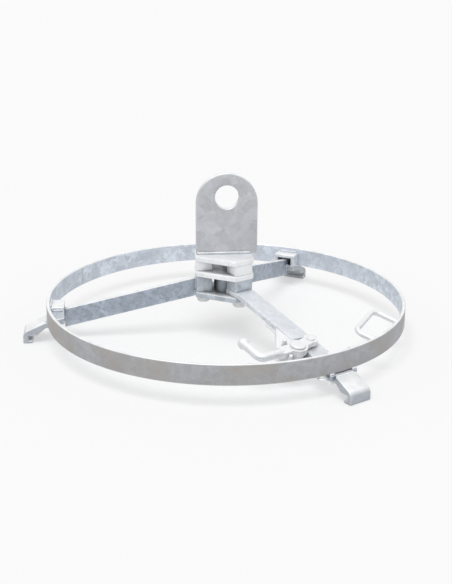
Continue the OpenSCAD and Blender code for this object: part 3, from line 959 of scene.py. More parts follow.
class BEAM_OT_eye_plate(PieceOperator):
    """Upright plate with a round top and the hole for the hook"""
    bl_idname = "beam.eye_plate"
    bl_label = "Eye Plate"

    def make(self, sizes):
        half_t = EYE_HIGH.y
        radius = EYE_HIGH.x
        shoulder = EYE_HIGH.z - radius
        foot = TOP_PLATE[1].z
        hole_z = EYE_HOLE["pos_m"][2]
        hole_r = EYE_HOLE["dims"]["r_mm"] * mm
        hole_edge = 1.8 * mm
        clear_selection()
        bpy.ops.mesh.primitive_cylinder_add(
            vertices=96, radius=radius, depth=2 * half_t,
            location=(0, 0, shoulder), rotation=(math.pi / 2, 0, 0))
        plate = begin("eye_plate_work")
        bpy.ops.mesh.bisect(
            plane_co=(0, 0, shoulder), plane_no=(0, 0, 1), clear_inner=True, use_fill=True)
        pick(plate, "FACE", lambda f: f.normal.z < -IN_LINE)
        push((0, 0, foot - shoulder))
        for side in (-1, 1):
            pick(plate, "FACE", lambda f: f.calc_center_median().z < shoulder - mm)
            bpy.ops.mesh.bisect(plane_co=(side * TENON_HALF_W, 0, 0), plane_no=(1, 0, 0))
        pick(plate, "FACE", lambda f: (
            f.normal.z < -IN_LINE and abs(f.calc_center_median().x) < TENON_HALF_W / 2))
        push((0, 0, EYE_LOW.z - foot))
        end_edit()
        cutter = disc("cutter", hole_r, -half_t * 2, half_t * 2, sides=72)
        place(cutter, Matrix.Translation((0, 0, hole_z)) @ Matrix.Rotation(math.pi / 2, 4, "X"))
        carve(plate, cutter)
        take(plate)
        bpy.ops.object.mode_set(mode="EDIT")
        hole = Vector((0, hole_z))
        pick(plate, "EDGE", lambda e: (
            abs(abs(edge_middle(e).y) - half_t) < 0.1 * mm
            and abs((edge_middle(e).xz - hole).length - hole_r) < 0.3 * mm))
        bevel_picked(hole_edge, segments=4)
        end_edit()
        round_edges(plate, sizes.plate_edge, angle=50)
        hand_over(plate, "lifting_eye_plate", "eye_plate", ["eye_plate"])


def hub_plate(name, low_z, high_z):
    """Three-cornered plate: a triangle of plate with its corners cut off square."""
    half_w = max(
        abs(p.y) for p in local_points("hub_mid_plate", level(LEFT)) if p.x > CORNER_R - 0.1 * mm)
    side_distance = CORNER_R * math.cos(math.pi / 3) + half_w * math.sin(math.pi / 3)
    tip_r = 2 * side_distance
    plate = disc(name, tip_r, low_z, high_z, sides=3)
    place(plate, Matrix.Rotation(math.pi / 2, 4, "Z"))
    bpy.ops.object.mode_set(mode="EDIT")
    pick(plate, "EDGE", lambda e: abs(edge_way(e).z) > IN_LINE)
    bevel_picked(tip_r - CORNER_R, segments=1, kind="DEPTH")
    end_edit()
    return plate


class BEAM_OT_hub_plates(PieceOperator):
    """The three plates of the hub"""
    bl_idname = "beam.hub_plates"
    bl_label = "Hub Plates"

    def make(self, sizes):
        play = 0.2 * mm
        for name, node, box, finish in (
            ("hub_plate_top", "hub_top_plate", TOP_PLATE, "bright_plate"),
            ("hub_plate_middle", "hub_mid_plate", MID_PLATE, "hub_plate"),
            ("hub_plate_bottom", "hub_bottom_plate", FLOOR_PLATE, "hub_block"),
        ):
            plate = hub_plate("plate_work", box[0].z, box[1].z)
            if box is TOP_PLATE:
                slot_half_w = TENON_HALF_W + play
                slot_half_t = EYE_HIGH.y + play
                carve(plate, block(
                    "cutter", (-slot_half_w, -slot_half_t, box[0].z - mm),
                    (slot_half_w, slot_half_t, box[1].z + mm)))
            else:
                for angle in ARMS.values():
                    centre = level(angle) @ Vector((hub_bolt_place(), 0, 0))
                    drill(plate, HUB_BOLT_HOLE_R, centre.xy, box[0].z - mm, box[1].z + mm)
            round_edges(plate, sizes.plate_edge, angle=50)
            hand_over(plate, name, "hub_plate", [node], finish=finish)


def hub_bolt_place():
    """Distance of the hub bolts from the axis."""
    return local_box("hub_washers", level(LEFT))[1].x - HUB_WASHER_R


class BEAM_OT_hub_blocks(PieceOperator):
    """Spacer blocks between the plates of the hub, each as high as its arm leaves room for"""
    bl_idname = "beam.hub_blocks"
    bl_label = "Hub Blocks"

    def make(self, sizes):
        inner_r = 22 * mm
        for name, node, finish in (
            ("hub_blocks_upper", "hub_upper_blocks", "hub_gap_block"),
            ("hub_blocks_lower", "hub_lower_blocks", "hub_block"),
        ):
            parts = []
            for angle in ARMS.values():
                own = [p for p in local_points(node, level(angle)) if p.x > inner_r - mm]
                low_z = min(p.z for p in own)
                high_z = max(p.z for p in own)
                outer_r = max(p.x for p in own)
                one = block(
                    "block_work", (inner_r, -ARM_HALF_W, low_z), (outer_r, ARM_HALF_W, high_z))
                drill(one, HUB_BOLT_HOLE_R, (hub_bolt_place(), 0), low_z - mm, high_z + mm)
                round_edges(one, sizes.plate_edge, angle=50)
                place(one, level(angle))
                parts.append(one)
            hand_over(join(parts), name, "hub_plate", [node], finish=finish)


class BEAM_OT_fixed_arms(PieceOperator):
    """Bars on edge that slope from the hub to the left and rear claws"""
    bl_idname = "beam.fixed_arms"
    bl_label = "Fixed Arms"

    def make(self, sizes):
        bevel = 2 * mm
        outline = [
            bar_point(EDGE_LOW.x, EDGE_TOP_W),
            bar_point(EDGE_HIGH.x, EDGE_TOP_W),
            bar_point(EDGE_HIGH.x),
            bar_point(BRACKET_R),
            bar_point(BRACKET_R, EDGE_BOTTOM_W),
            bar_point(CORNER_R + bevel, EDGE_BOTTOM_W),
            (CORNER_R, 0, FLOOR_PLATE[0].z),
            (CORNER_R, 0, FLOOR_PLATE[1].z),
            (EDGE_LOW.x, 0, FLOOR_PLATE[1].z),
        ]
        bar = side_plate("arm_work", outline, EDGE_HIGH.y - EDGE_LOW.y)
        round_edges(bar, sizes.bar_edge, angle=40)
        for name, angle in FIXED_ARMS.items():
            arm = twin(bar, level(angle))
            hand_over(arm, f"sloping_arm_{name}", "arm", [f"arm_{name}"])
        bpy.data.objects.remove(bar)


class BEAM_OT_front_arm(PieceOperator):
    """Flat bar that slopes from the hub to the slide"""
    bl_idname = "beam.front_arm"
    bl_label = "Front Arm"

    def make(self, sizes):
        mitre = ARM_T * math.tan(SLOPE / 2)
        top = TAIL_HIGH.z
        bottom = top - ARM_T
        bend_radius = 5 * mm
        bar = side_plate("arm_work", [
            (TAIL_LOW.x, 0, top),
            (BEND_R, 0, top),
            arm_point(FRONT_END_R),
            arm_point(FRONT_END_R, -ARM_T),
            (BEND_R - mitre, 0, bottom),
            (TAIL_LOW.x, 0, bottom),
        ], 2 * ARM_HALF_W)
        take(bar)
        bpy.ops.object.mode_set(mode="EDIT")
        pick(bar, "EDGE", lambda e: (
            abs(edge_way(e).y) > IN_LINE and abs(edge_middle(e).x - BEND_R) < 2 * mm))
        bevel_picked(bend_radius, segments=4)
        end_edit()
        round_edges(bar, sizes.bar_edge, angle=50)
        place(bar, level(FRONT))
        hand_over(bar, "sloping_arm_front", "arm", ["arm_front"], finish="front_arm")


def claw_outline(inner_end):
    """Side outline of a claw, down over the rim with a toe under it, and its inner end."""
    rim_r = 292.5 * mm
    toe_t = 4 * mm
    toe_top = CLAW_LOW.z + toe_t
    mouth_r = CLAW_HIGH.x - 7.3 * mm
    mouth_top = 0.8 * mm
    toe_round = 1.2 * mm
    toe_tip = rim_r - 5 * mm
    seat_start = rim_r - 11.5 * mm
    outer = CLAW_HIGH.x
    corner_z = 4.94 * mm
    foot = CLAW_LOW.z
    return [
        arm_point(ARM_END_R),
        (outer, 0, corner_z),
        (outer, 0, foot + toe_round),
        (outer - toe_round, 0, foot),
        (toe_tip + toe_round, 0, foot),
        (toe_tip, 0, foot + toe_round),
        (toe_tip, 0, toe_top - toe_round),
        (toe_tip + toe_round, 0, toe_top),
        (mouth_r, 0, toe_top),
        (mouth_r, 0, mouth_top),
        (seat_start, 0, mouth_top),
        arm_point(ARM_END_R, -ARM_T),
        *inner_end,
    ]


class BEAM_OT_claws(PieceOperator):
    """Hooks over and under the drum's rim"""
    bl_idname = "beam.claws"
    bl_label = "Claws"

    def make(self, sizes):
        edge = 0.9 * mm
        lap = (bar_point(BRACKET_R, -ARM_T), bar_point(BRACKET_R))
        for inner_end, arms in ((lap, FIXED_ARMS), ((), {"front": FRONT})):
            claw = side_plate("claw_work", claw_outline(inner_end), CLAW_HIGH.y - CLAW_LOW.y)
            take(claw)
            bpy.ops.object.mode_set(mode="EDIT")
            pick(claw, "EDGE", lambda e: (
                abs(edge_way(e).y) > IN_LINE and edge_middle(e).x > CLAW_HIGH.x - mm
                and edge_middle(e).z > 0))
            bevel_picked(sizes.claw_bend, segments=8)
            end_edit()
            round_edges(claw, edge, angle=40)
            for name, angle in arms.items():
                piece = twin(claw, level(angle))
                hand_over(piece, f"rim_claw_{name}", "claw", [f"claw_{name}"])
            bpy.data.objects.remove(claw)


class BEAM_OT_hoop(PieceOperator):
    """Hoop of rolled flat bar"""
    bl_idname = "beam.hoop"
    bl_label = "Hoop"

    def make(self, sizes):
        clear_selection()
        bpy.ops.mesh.primitive_plane_add(
            size=1, rotation=(math.pi / 2, 0, 0),
            location=((RING_R + RING_INNER_R) / 2, 0, (RING_LOW.z + RING_HIGH.z) / 2))
        bpy.context.object.scale = (RING_R - RING_INNER_R, RING_HIGH.z - RING_LOW.z, 1)
        hoop = begin("hoop_work")
        bpy.ops.mesh.bevel(affect="VERTICES", offset=sizes.hoop_edge, segments=4)
        bpy.ops.mesh.select_all(action="SELECT")
        bpy.ops.mesh.delete(type="ONLY_FACE")
        spin_round(sizes.hoop_steps)
        end_edit()
        hand_over(hoop, "hoop_bar", "ring", ["ring"])


class BEAM_OT_brackets(PieceOperator):
    """Brackets of the left and rear arms, and the front arm's lugs, inside the hoop"""
    bl_idname = "beam.brackets"
    bl_label = "Brackets"

    def make(self, sizes):
        edge = 0.8 * mm
        plate_t = BRACKET_PLATE_T
        into = RING_INNER_R + 0.5 * mm
        half = CLAW_HIGH.y
        arms = [level(angle) for angle in FIXED_ARMS.values()]
        rib = side_plate("rib_work", [
            bar_point(BRACKET_R),
            bar_point(into),
            (into, 0, CAP_LOW.z),
            (BRACKET_R, 0, CAP_LOW.z),
        ], plate_t)
        round_edges(rib, edge, segments=2, angle=40)
        ribs = repeat(rib, [
            matrix for arm in arms for matrix in both_sides(arm, half - plate_t / 2)])
        hand_over(ribs, "hoop_bracket_plates", "ring", ["ring_ribs"], finish="bracket")

        cap = block("cap_work", (BRACKET_R, -half, CAP_LOW.z), (into, half, CAP_HIGH.z))
        round_edges(cap, sizes.plate_edge)
        caps = repeat(cap, arms)
        hand_over(caps, "hoop_bracket_caps", "ring", ["ring_caps"], finish="bracket")

        lug_start = 250 * mm
        slant_cut = 6 * mm
        lug = side_plate("lug_work", [
            arm_point(lug_start),
            arm_point(into),
            (into, 0, LUG_TOP),
            (lug_start + slant_cut, 0, LUG_TOP),
            (lug_start, 0, LUG_TOP - slant_cut),
        ], plate_t)
        round_edges(lug, edge, segments=2, angle=40)
        lugs = repeat(lug, both_sides(level(FRONT), CHEEK_MID))
        hand_over(lugs, "hoop_lugs", "ring", ["ring_lugs"], finish="bracket")


class BEAM_OT_hand_grip(PieceOperator):
    """Bent rod handle inside the hoop"""
    bl_idname = "beam.hand_grip"
    bl_label = "Hand Grip"

    def make(self, sizes):
        radius = 4 * mm
        bend = 12 * mm
        quarter = (math.pi / 2, bend, (0, 0, -1))
        grip_matrix, leg = grip_place()
        into_hoop = 1 * mm
        legs = leg + into_hoop - bend
        grip = bend_rod(
            "grip_work", radius, (leg + into_hoop, -GRIP_HALF_SPAN, 0), (-1, 0, 0),
            [legs, quarter, 2 * (GRIP_HALF_SPAN - bend), quarter, legs])
        place(grip, grip_matrix)
        hand_over(grip, "hand_grip_rod", "rod", ["hand_grip"])


def grip_place():
    """Axes at the middle of the grip's crossbar with X along its legs, and the legs' length."""
    grip_angle = math.radians(-29)
    grip_r = 215 * mm
    grip_z = 43 * mm
    drop = 14 * mm
    run = math.sqrt(RING_INNER_R ** 2 - GRIP_HALF_SPAN ** 2) - grip_r
    tilt = math.atan(drop / run)
    matrix = (
        level(grip_angle)
        @ Matrix.Translation((grip_r, 0, grip_z))
        @ Matrix.Rotation(tilt, 4, "Y")
    )
    return matrix, run / math.cos(tilt)


class BEAM_OT_guide(PieceOperator):
    """Plates, cheeks and keeper that guide the slide bar, and the lever's stop pins"""
    bl_idname = "beam.guide"
    bl_label = "Slide Guide"

    def make(self, sizes):
        top = PLATE_HIGH.z
        bottom = PLATE_LOW.z
        half = ARM_HALF_W
        cheek = CHEEK_HIGH.y
        start = slant(118 * mm)
        wing_start = slant(140 * mm)
        wing_bend = (slant(181 * mm), -46 * mm)
        neck = slant(228 * mm)
        end = slant(268 * mm)
        wing_tip = [
            (slant(188 * mm), -55 * mm),
            (slant(214 * mm), -58 * mm),
            (slant(222 * mm), -52 * mm),
        ]
        corners = [
            (start, -half),
            (wing_start, -half),
            wing_bend,
            *wing_tip,
            (neck, -cheek),
            (end, -cheek),
            (end, cheek),
            (neck, cheek),
            (neck, half),
            (start, half),
        ]
        plate = trace_plate(
            "plate_work", [Vector((x, y, bottom)) for x, y in corners],
            Vector((0, 0, top - bottom)))
        round_edges(plate, sizes.plate_edge, angle=20)
        place(plate, on_arm(FRONT))
        hand_over(plate, "guide_plate_wing", "hub_plate", ["guide_plate"], finish="bright_plate")

        gusset_low, gusset_high = local_box("guide_gusset", on_arm(FRONT))
        gusset_tip = (slant(184 * mm), -50 * mm)
        corners = [(wing_start, -half), wing_bend, gusset_tip, (slant(FRONT_END_R), -half)]
        gusset = trace_plate(
            "gusset_work", [Vector((x, y, gusset_low.z)) for x, y in corners],
            Vector((0, 0, gusset_high.z - gusset_low.z)))
        pin_r = 3 * mm
        notch_play = 0.4 * mm
        near_pin, far_pin = stop_pin_places(pin_r)
        drill(gusset, pin_r + notch_play, near_pin, gusset_low.z - mm, gusset_high.z + mm)
        round_edges(gusset, sizes.plate_edge, segments=2, angle=20)
        place(gusset, on_arm(FRONT))
        hand_over(gusset, "guide_corner_plate", "arm", ["guide_gusset"], finish="bright_plate")

        cheek_edge = 0.8 * mm
        bar = block(
            "cheek_work", (CHEEK_LOW.x, -CHEEK_W / 2, CHEEK_LOW.z),
            (CHEEK_HIGH.x, CHEEK_W / 2, CHEEK_HIGH.z))
        round_edges(bar, cheek_edge)
        bars = repeat(bar, both_sides(on_arm(FRONT), CHEEK_MID))
        hand_over(bars, "guide_cheek_bars", "arm", ["guide_cheeks"])

        keeper = block("keeper_work", KEEPER_LOW, KEEPER_HIGH)
        round_edges(keeper, sizes.plate_edge)
        place(keeper, on_arm(FRONT))
        hand_over(
            keeper, "guide_keeper_strap", "hub_plate", ["guide_keeper"], finish="bright_plate")

        pin_edge = 0.9 * mm
        pin = disc("pin_work", pin_r, PIN_LOW.z, PIN_HIGH.z, sides=32)
        round_edges(pin, pin_edge)
        pins = repeat(pin, [
            on_arm(FRONT) @ Matrix.Translation((*centre, 0)) for centre in (near_pin, far_pin)])
        hand_over(pins, "lever_stop_pins", "fastener", ["stop_pins"])


def stop_pin_places(pin_r):
    """Centres of the near and the far stop pin, along the front arm and across it."""
    places = []
    for along in (PIN_LOW.x + pin_r, PIN_HIGH.x - pin_r):
        own = [
            p.y for p in local_points("stop_pins", on_arm(FRONT))
            if abs(p.x - along) < pin_r + mm]
        places.append((along, (min(own) + max(own)) / 2))
    return places


class BEAM_OT_slide_bar(PieceOperator):
    """Sliding outer half of the front arm with its cross slot"""
    bl_idname = "beam.slide_bar"
    bl_label = "Slide Bar"

    def make(self, sizes):
        bar = block("slide_work", SLIDE_LOW, SLIDE_HIGH)
        slot_r = 7.7 * mm
        peg_throw = 30 * mm
        peg_lead = math.radians(35)
        edge = 0.6 * mm
        peg_x = PIVOT.x + PEG_AT.x
        far_y = PIVOT.y + peg_throw
        near_y = PIVOT.y + peg_throw * math.cos(peg_lead)
        bottom = SLIDE_LOW.z - mm
        top = SLIDE_HIGH.z + mm
        slot = disc("cutter", slot_r, bottom, top, (peg_x, far_y))
        carve(slot, disc("slot_end", slot_r, bottom, top, (peg_x, near_y)), "UNION")
        carve(slot, block(
            "slot_middle", (peg_x - slot_r, near_y, bottom), (peg_x + slot_r, far_y, top)), "UNION")
        carve(bar, slot)
        round_edges(bar, edge, segments=2, angle=50)
        place(bar, on_arm(FRONT))
        hand_over(bar, "claw_slide_bar", "claw", ["slide_bar"], finish="front_arm")


def flat_bar(name, start, end, width, bottom, top):
    """A straight flat bar between two points, lying level."""
    run = Vector(end) - Vector(start)
    bar = block(name, (0, -width / 2, bottom), (run.length, width / 2, top))
    turn = Matrix.Rotation(math.atan2(run.y, run.x), 4, "Z")
    place(bar, Matrix.Translation((start[0], start[1], 0)) @ turn)
    return bar


class BEAM_OT_lever(PieceOperator):
    """Flat lever with its rod handle and drive peg"""
    bl_idname = "beam.lever"
    bl_label = "Clamp Lever"

    def make(self, sizes):
        bottom = LEVER_LOW.z
        top = LEVER_HIGH.z
        eye_r = LEVER_HIGH.x
        peg_eye_r = LEVER_HIGH.y - PEG_AT.y
        bar_w = 16 * mm
        bar_end = -LEVER_LOW.y
        pivot_hole_r = 6.05 * mm
        edge = 1.1 * mm
        peg = PEG_AT.xy
        lever = disc("lever_work", eye_r, bottom, top)
        carve(lever, disc("peg_eye", peg_eye_r, bottom, top, peg), "UNION")
        carve(lever, flat_bar("peg_bar", (0, 0), peg, bar_w, bottom, top), "UNION")
        carve(lever, flat_bar("hand_bar", (0, 0), (0, -bar_end), bar_w, bottom, top), "UNION")
        drill(lever, pivot_hole_r, (0, 0), bottom - mm, top + mm)
        drill(lever, PEG_R, peg, bottom - mm, top + mm)
        round_edges(lever, edge, angle=50)
        place(lever, AT_PIVOT)
        hand_over(lever, "clamp_lever_plate", "lever", ["lever"])

        rod_r = 6 * mm
        bend = 8 * mm
        straight = 24.5 * mm
        end = 30.5 * mm
        ball_r = 8 * mm
        middle = (bottom + top) / 2
        into = 4 * mm
        rod = bend_rod(
            "handle_work", rod_r, (0, -bar_end + into, middle), (0, -1, 0),
            [straight + into, (math.pi / 2, bend, (0, 0, -1)), end])
        clear_selection()
        bpy.ops.mesh.primitive_uv_sphere_add(
            segments=32, ring_count=20, radius=ball_r,
            location=(-bend - end, -bar_end - straight - bend, middle))
        ball = begin("ball")
        end_edit()
        carve(rod, ball, "UNION")
        place(rod, AT_PIVOT)
        hand_over(rod, "clamp_lever_handle", "lever", ["lever_handle"])

        head_r = (PEG_HIGH.x - PEG_LOW.x) / 2
        head_t = 1.5 * mm
        head_edge = 0.6 * mm
        shank_edge = 0.4 * mm
        pin = disc("peg_work", head_r, PEG_HIGH.z - head_t, PEG_HIGH.z, peg, sides=40)
        round_edges(pin, head_edge)
        shank = disc("shank", PEG_R, PEG_LOW.z, PEG_HIGH.z - head_t, peg, sides=32)
        round_edges(shank, shank_edge, segments=2)
        pin = join([pin, shank])
        place(pin, AT_PIVOT)
        hand_over(pin, "lever_drive_peg", "fastener", ["drive_peg"])


class BEAM_OT_hub_fasteners(PieceOperator):
    """Bolts and washers that clamp the hub"""
    bl_idname = "beam.hub_fasteners"
    bl_label = "Hub Fasteners"

    def make(self, sizes):
        washer_low, washer_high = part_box("hub_washers")
        bolt_low, bolt_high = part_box("hub_bolts")
        head = washer_low.z - bolt_low.z
        length = bolt_high.z - washer_low.z
        washer_edge = 0.4 * mm
        turn_step = math.radians(17)
        places = [
            level(angle)
            @ Matrix.Translation((hub_bolt_place(), 0, washer_low.z))
            @ Matrix.Rotation(turn_step * index, 4, "Z")
            for index, angle in enumerate(ARMS.values())]
        screw = bolt("bolt_work", M12_R, length, M12_FLATS, head)
        ring = tube_ring(
            "washer_work", HUB_BOLT_HOLE_R, HUB_WASHER_R, 0, washer_high.z - washer_low.z,
            washer_edge)
        hand_over(repeat(screw, places), "hub_clamp_bolts", "fastener", ["hub_bolts"])
        hand_over(repeat(ring, places), "hub_clamp_washers", "fastener", ["hub_washers"])


class BEAM_OT_guide_fasteners(PieceOperator):
    """Bolts, washers and nuts of the guide plate"""
    bl_idname = "beam.guide_fasteners"
    bl_label = "Guide Fasteners"

    def make(self, sizes):
        frame_here = on_arm(FRONT)
        bolt_low, bolt_high = local_box("guide_bolts", frame_here)
        washer_low, washer_high = local_box("guide_washers", frame_here)
        nut_low, nut_high = local_box("guide_nuts", frame_here)
        along = (bolt_low.x + bolt_high.x) / 2
        head = bolt_high.z - washer_high.z
        length = washer_high.z - bolt_low.z
        nut_t = nut_high.z - nut_low.z
        washer_hole_r = 3.5 * mm
        washer_r = 6 * mm
        washer_edge = 0.3 * mm
        turn = math.radians(20)
        sides = both_sides(frame_here @ Matrix.Translation((along, 0, 0)), CHEEK_MID)
        upside_down = Matrix.Translation((0, 0, washer_high.z)) @ Matrix.Rotation(math.pi, 4, "X")
        screw = bolt("bolt_work", M6_R, length, M6_FLATS, head, thread=nut_t + mm)
        bolts = repeat(screw, [
            here @ upside_down @ Matrix.Rotation(angle, 4, "Z")
            for here, angle in zip(sides, (-turn, turn))])
        hand_over(bolts, "guide_strap_bolts", "fastener", ["guide_bolts"])

        ring = tube_ring(
            "washer_work", washer_hole_r, washer_r, washer_low.z, washer_high.z, washer_edge)
        washers = repeat(ring, sides)
        hand_over(washers, "guide_strap_washers", "fastener", ["guide_washers"])

        nut = hexagon("nut_work", M6_FLATS, nut_t, both_ends=True)
        drill(nut, M6_R, (0, 0), -mm, nut_t + mm)
        nuts = repeat(nut, [here @ Matrix.Translation((0, 0, nut_low.z)) for here in sides])
        hand_over(nuts, "guide_strap_nuts", "fastener", ["guide_nuts"])

        plate_low, plate_high = local_box("plate_bolts", frame_here)
        screw_places = (128 * mm, 158 * mm)
        screw = bolt(
            "bolt_work", M8_R, plate_high.z - PLATE_LOW.z, M8_FLATS, PLATE_LOW.z - plate_low.z)
        screws = repeat(screw, [
            frame_here @ Matrix.Translation((slant(r), 0, PLATE_LOW.z)) for r in screw_places])
        hand_over(screws, "guide_plate_screws", "fastener", ["plate_bolts"])


class BEAM_OT_pivot_fasteners(PieceOperator):
    """Bolt, spring washer and nut of the lever's pivot"""
    bl_idname = "beam.pivot_fasteners"
    bl_label = "Pivot Fasteners"

    def make(self, sizes):
        bolt_low, bolt_high = local_box("pivot_bolt", AT_PIVOT)
        washer_low, washer_high = local_box("pivot_spring_washer", AT_PIVOT)
        nut_low, nut_high = local_box("pivot_nut", AT_PIVOT)
        seat = LEVER_HIGH.z
        thread_top = nut_high.z
        head_edge = 1.2 * mm
        head = disc("head_work", bolt_high.x, seat, bolt_high.z, sides=56)
        round_edges(head, head_edge, segments=4)
        shank = disc("shank", M12_R, thread_top, seat, sides=36)
        thread = threaded_end("thread", M12_R, bolt_low.z, thread_top, sizes.thread_pitch)
        screw = join([head, shank, thread])
        place(screw, AT_PIVOT)
        hand_over(screw, "lever_pivot_bolt", "fastener", ["pivot_bolt"])

        washer_edge = 0.3 * mm
        ring = tube_ring(
            "washer_work", M12_R, washer_high.x, washer_low.z, washer_high.z, washer_edge)
        slit_half_w = 0.8 * mm
        slit_place = math.radians(-100)
        slit_slant = 0.35
        slit_end = 14 * mm
        split = block(
            "cutter", (M12_R - 2 * mm, -slit_half_w, washer_low.z - mm),
            (slit_end, slit_half_w, washer_high.z + mm))
        place(split, Matrix.Rotation(slit_place, 4, "Z") @ Matrix.Rotation(slit_slant, 4, "X"))
        carve(ring, split)
        place(ring, AT_PIVOT)
        hand_over(ring, "lever_spring_washer", "fastener", ["pivot_spring_washer"])

        nut_t = nut_high.z - nut_low.z
        nut_hole_r = 5.6 * mm
        nut = hexagon("nut_work", M12_FLATS, nut_t, both_ends=True)
        drill(nut, nut_hole_r, (0, 0), -mm, nut_t + mm)
        place(nut, AT_PIVOT @ Matrix.Translation((0, 0, nut_low.z)))
        hand_over(nut, "lever_pivot_nut", "fastener", ["pivot_nut"])


class BEAM_OT_tether_eye(PieceOperator):
    """Small wire loop beside the front claw"""
    bl_idname = "beam.tether_eye"
    bl_label = "Tether Eye"

    def make(self, sizes):
        loop_r = 6 * mm
        wire_r = 1.75 * mm
        low, high = local_box("tether_eye", on_arm(FRONT))
        centre = Vector((low.x + loop_r + wire_r, low.y + loop_r + wire_r, -ARM_T / 2))
        clear_selection()
        bpy.ops.mesh.primitive_circle_add(
            vertices=20, radius=wire_r, location=(loop_r, 0, 0), rotation=(math.pi / 2, 0, 0))
        loop = begin("loop_work")
        spin_round(steps=48)
        end_edit()
        stub = bend_rod("stub", wire_r, (0, loop_r, 0), (0, 1, 0),
                        [high.y - centre.y - loop_r], sides=20)
        loop = join([loop, stub])
        place(loop, on_arm(FRONT) @ Matrix.Translation(centre))
        hand_over(loop, "tether_loop", "rod", ["tether_eye"])


# Welds

def bead(start, end, radius, pitch):
    """A straight weld seam of even ripples from one point to another."""
    run = end - start
    count = max(2, round(run.length / pitch))
    step = run.length / count
    valley = 0.84
    end_narrowing = 0.6
    end_reach = 0.5 * radius
    unevenness = 0.12 * mm
    rise = 0.3 * step
    fall = 0.35 * step
    clear_selection()
    bpy.ops.mesh.primitive_circle_add(vertices=12, radius=radius * valley)
    seam = begin("bead_work")
    push((0, 0, rise))
    bpy.ops.transform.resize(value=(1 / valley, 1 / valley, 1))
    push((0, 0, fall))
    push((0, 0, fall))
    bpy.ops.transform.resize(value=(valley, valley, 1))
    end_edit()
    apply_modifier(
        seam, "ARRAY", count=count, use_relative_offset=False, use_constant_offset=True,
        constant_offset_displace=(0, 0, step), use_merge_vertices=True,
        merge_threshold=0.01 * mm)
    bpy.ops.object.mode_set(mode="EDIT")
    bpy.ops.mesh.select_all(action="SELECT")
    bpy.ops.mesh.fill_holes(sides=0)
    for height, way in ((0, -1), (run.length, 1)):
        pick(seam, "FACE", lambda f: (
            abs(f.normal.z) > IN_LINE and abs(f.calc_center_median().z - height) < 0.2 * mm))
        push((0, 0, way * end_reach))
        bpy.ops.transform.resize(value=(end_narrowing, end_narrowing, 1))
    bpy.ops.mesh.select_all(action="SELECT")
    bpy.ops.transform.vertex_random(offset=unevenness, seed=count)
    bpy.ops.mesh.normals_make_consistent(inside=False)
    end_edit()
    turn = run.to_track_quat("Z", "Y").to_matrix().to_4x4()
    place(seam, Matrix.Translation(start) @ turn)
    return seam


def collar(matrix, path_r, radius):
    """A round weld about a rod, lying in the XY plane of a matrix."""
    unevenness = 0.15 * mm
    clear_selection()
    bpy.ops.mesh.primitive_circle_add(
        vertices=12, radius=radius, location=(path_r, 0, 0), rotation=(math.pi / 2, 0, 0))
    seam = begin("collar_work")
    spin_round(steps=36)
    bpy.ops.mesh.select_all(action="SELECT")
    bpy.ops.transform.vertex_random(offset=unevenness, seed=5)
    end_edit()
    place(seam, matrix)
    return seam


# How far a seam's middle stands off the corner that it fills, and how far from an edge it ends
WELD_OFF = 0.3 * mm
WELD_END = 2 * mm
HOOP_WELD_R = RING_INNER_R - 2 * WELD_OFF
HOOP_WELD_LOW = RING_LOW.z + 0.4 * mm + WELD_END
HOOP_FOOT_WELD_Z = RING_LOW.z - 0.8 * mm


def outward(low, high, y, z):
    """Path of a seam that runs away from the axis."""
    return (low, y, z), (high, y, z)


def across(x, low, high, z):
    """Path of a level seam across an arm."""
    return (x, low, z), (x, high, z)


def upright(x, y, low, high):
    """Path of a standing seam."""
    return (x, y, low), (x, y, high)


def seams(matrix, paths, radius, pitch):
    """Weld seams along paths in the axes of a matrix."""
    return [
        bead(matrix @ Vector(start), matrix @ Vector(end), radius, pitch)
        for start, end in paths]


def eye_plate_welds(size, pitch):
    """Seams along the foot of the eye plate, on both its faces."""
    start = -43 * mm
    end = 34 * mm
    radius = 1.15 * size
    height = TOP_PLATE[1].z + 2 * WELD_OFF
    made = []
    for side in (-1, 1):
        path = outward(start, end, side * (EYE_HIGH.y + 2 * WELD_OFF), height)
        made += seams(Matrix(), [path], radius, pitch)
    return made


def fixed_arm_welds(angle, size, pitch):
    """Seams of a fixed arm with its hub plate, its bracket, the hoop and its claw."""
    level_radius = 0.85 * size
    side_radius = 0.7 * size
    half = CLAW_HIGH.y
    foot_half = 15 * mm
    cap_half = 14 * mm
    cap_r = HOOP_WELD_R - 0.4 * mm
    cap_z = CAP_HIGH.z + 0.4 * mm
    corner_r = math.sqrt(HOOP_WELD_R ** 2 - half ** 2)
    plate_side = half - 0.9 * mm
    bar_side = EDGE_HIGH.y + WELD_OFF
    hub_seam_top = 79 * mm
    made = seams(level(angle), [
        across(RING_R + 0.2 * mm, -foot_half, foot_half, HOOP_FOOT_WELD_Z),
        across(cap_r, -cap_half, cap_half, cap_z),
    ], level_radius, pitch)
    for side in (-1, 1):
        made += seams(level(angle), [
            upright(corner_r, side * half, HOOP_WELD_LOW, CAP_HIGH.z - WELD_END),
            outward(
                BRACKET_R + WELD_END, corner_r - WELD_END, side * plate_side, CAP_LOW.z),
            upright(
                EDGE_LOW.x + WELD_OFF, side * bar_side, FLOOR_PLATE[1].z + WELD_END,
                hub_seam_top),
            upright(
                CORNER_R + WELD_OFF, side * bar_side, FLOOR_PLATE[0].z + mm,
                FLOOR_PLATE[1].z - mm),
        ], side_radius, pitch)
        made += seams(on_arm(angle), [
            outward(slant(BRACKET_R + mm), slant(corner_r - mm), side * plate_side, 0),
            outward(
                slant(BRACKET_R + mm), slant(EDGE_HIGH.x - WELD_END), side * bar_side,
                WELD_OFF),
            upright(slant(BRACKET_R) - WELD_OFF, side * bar_side, mm - ARM_T, -mm),
        ], side_radius, pitch)
    return made


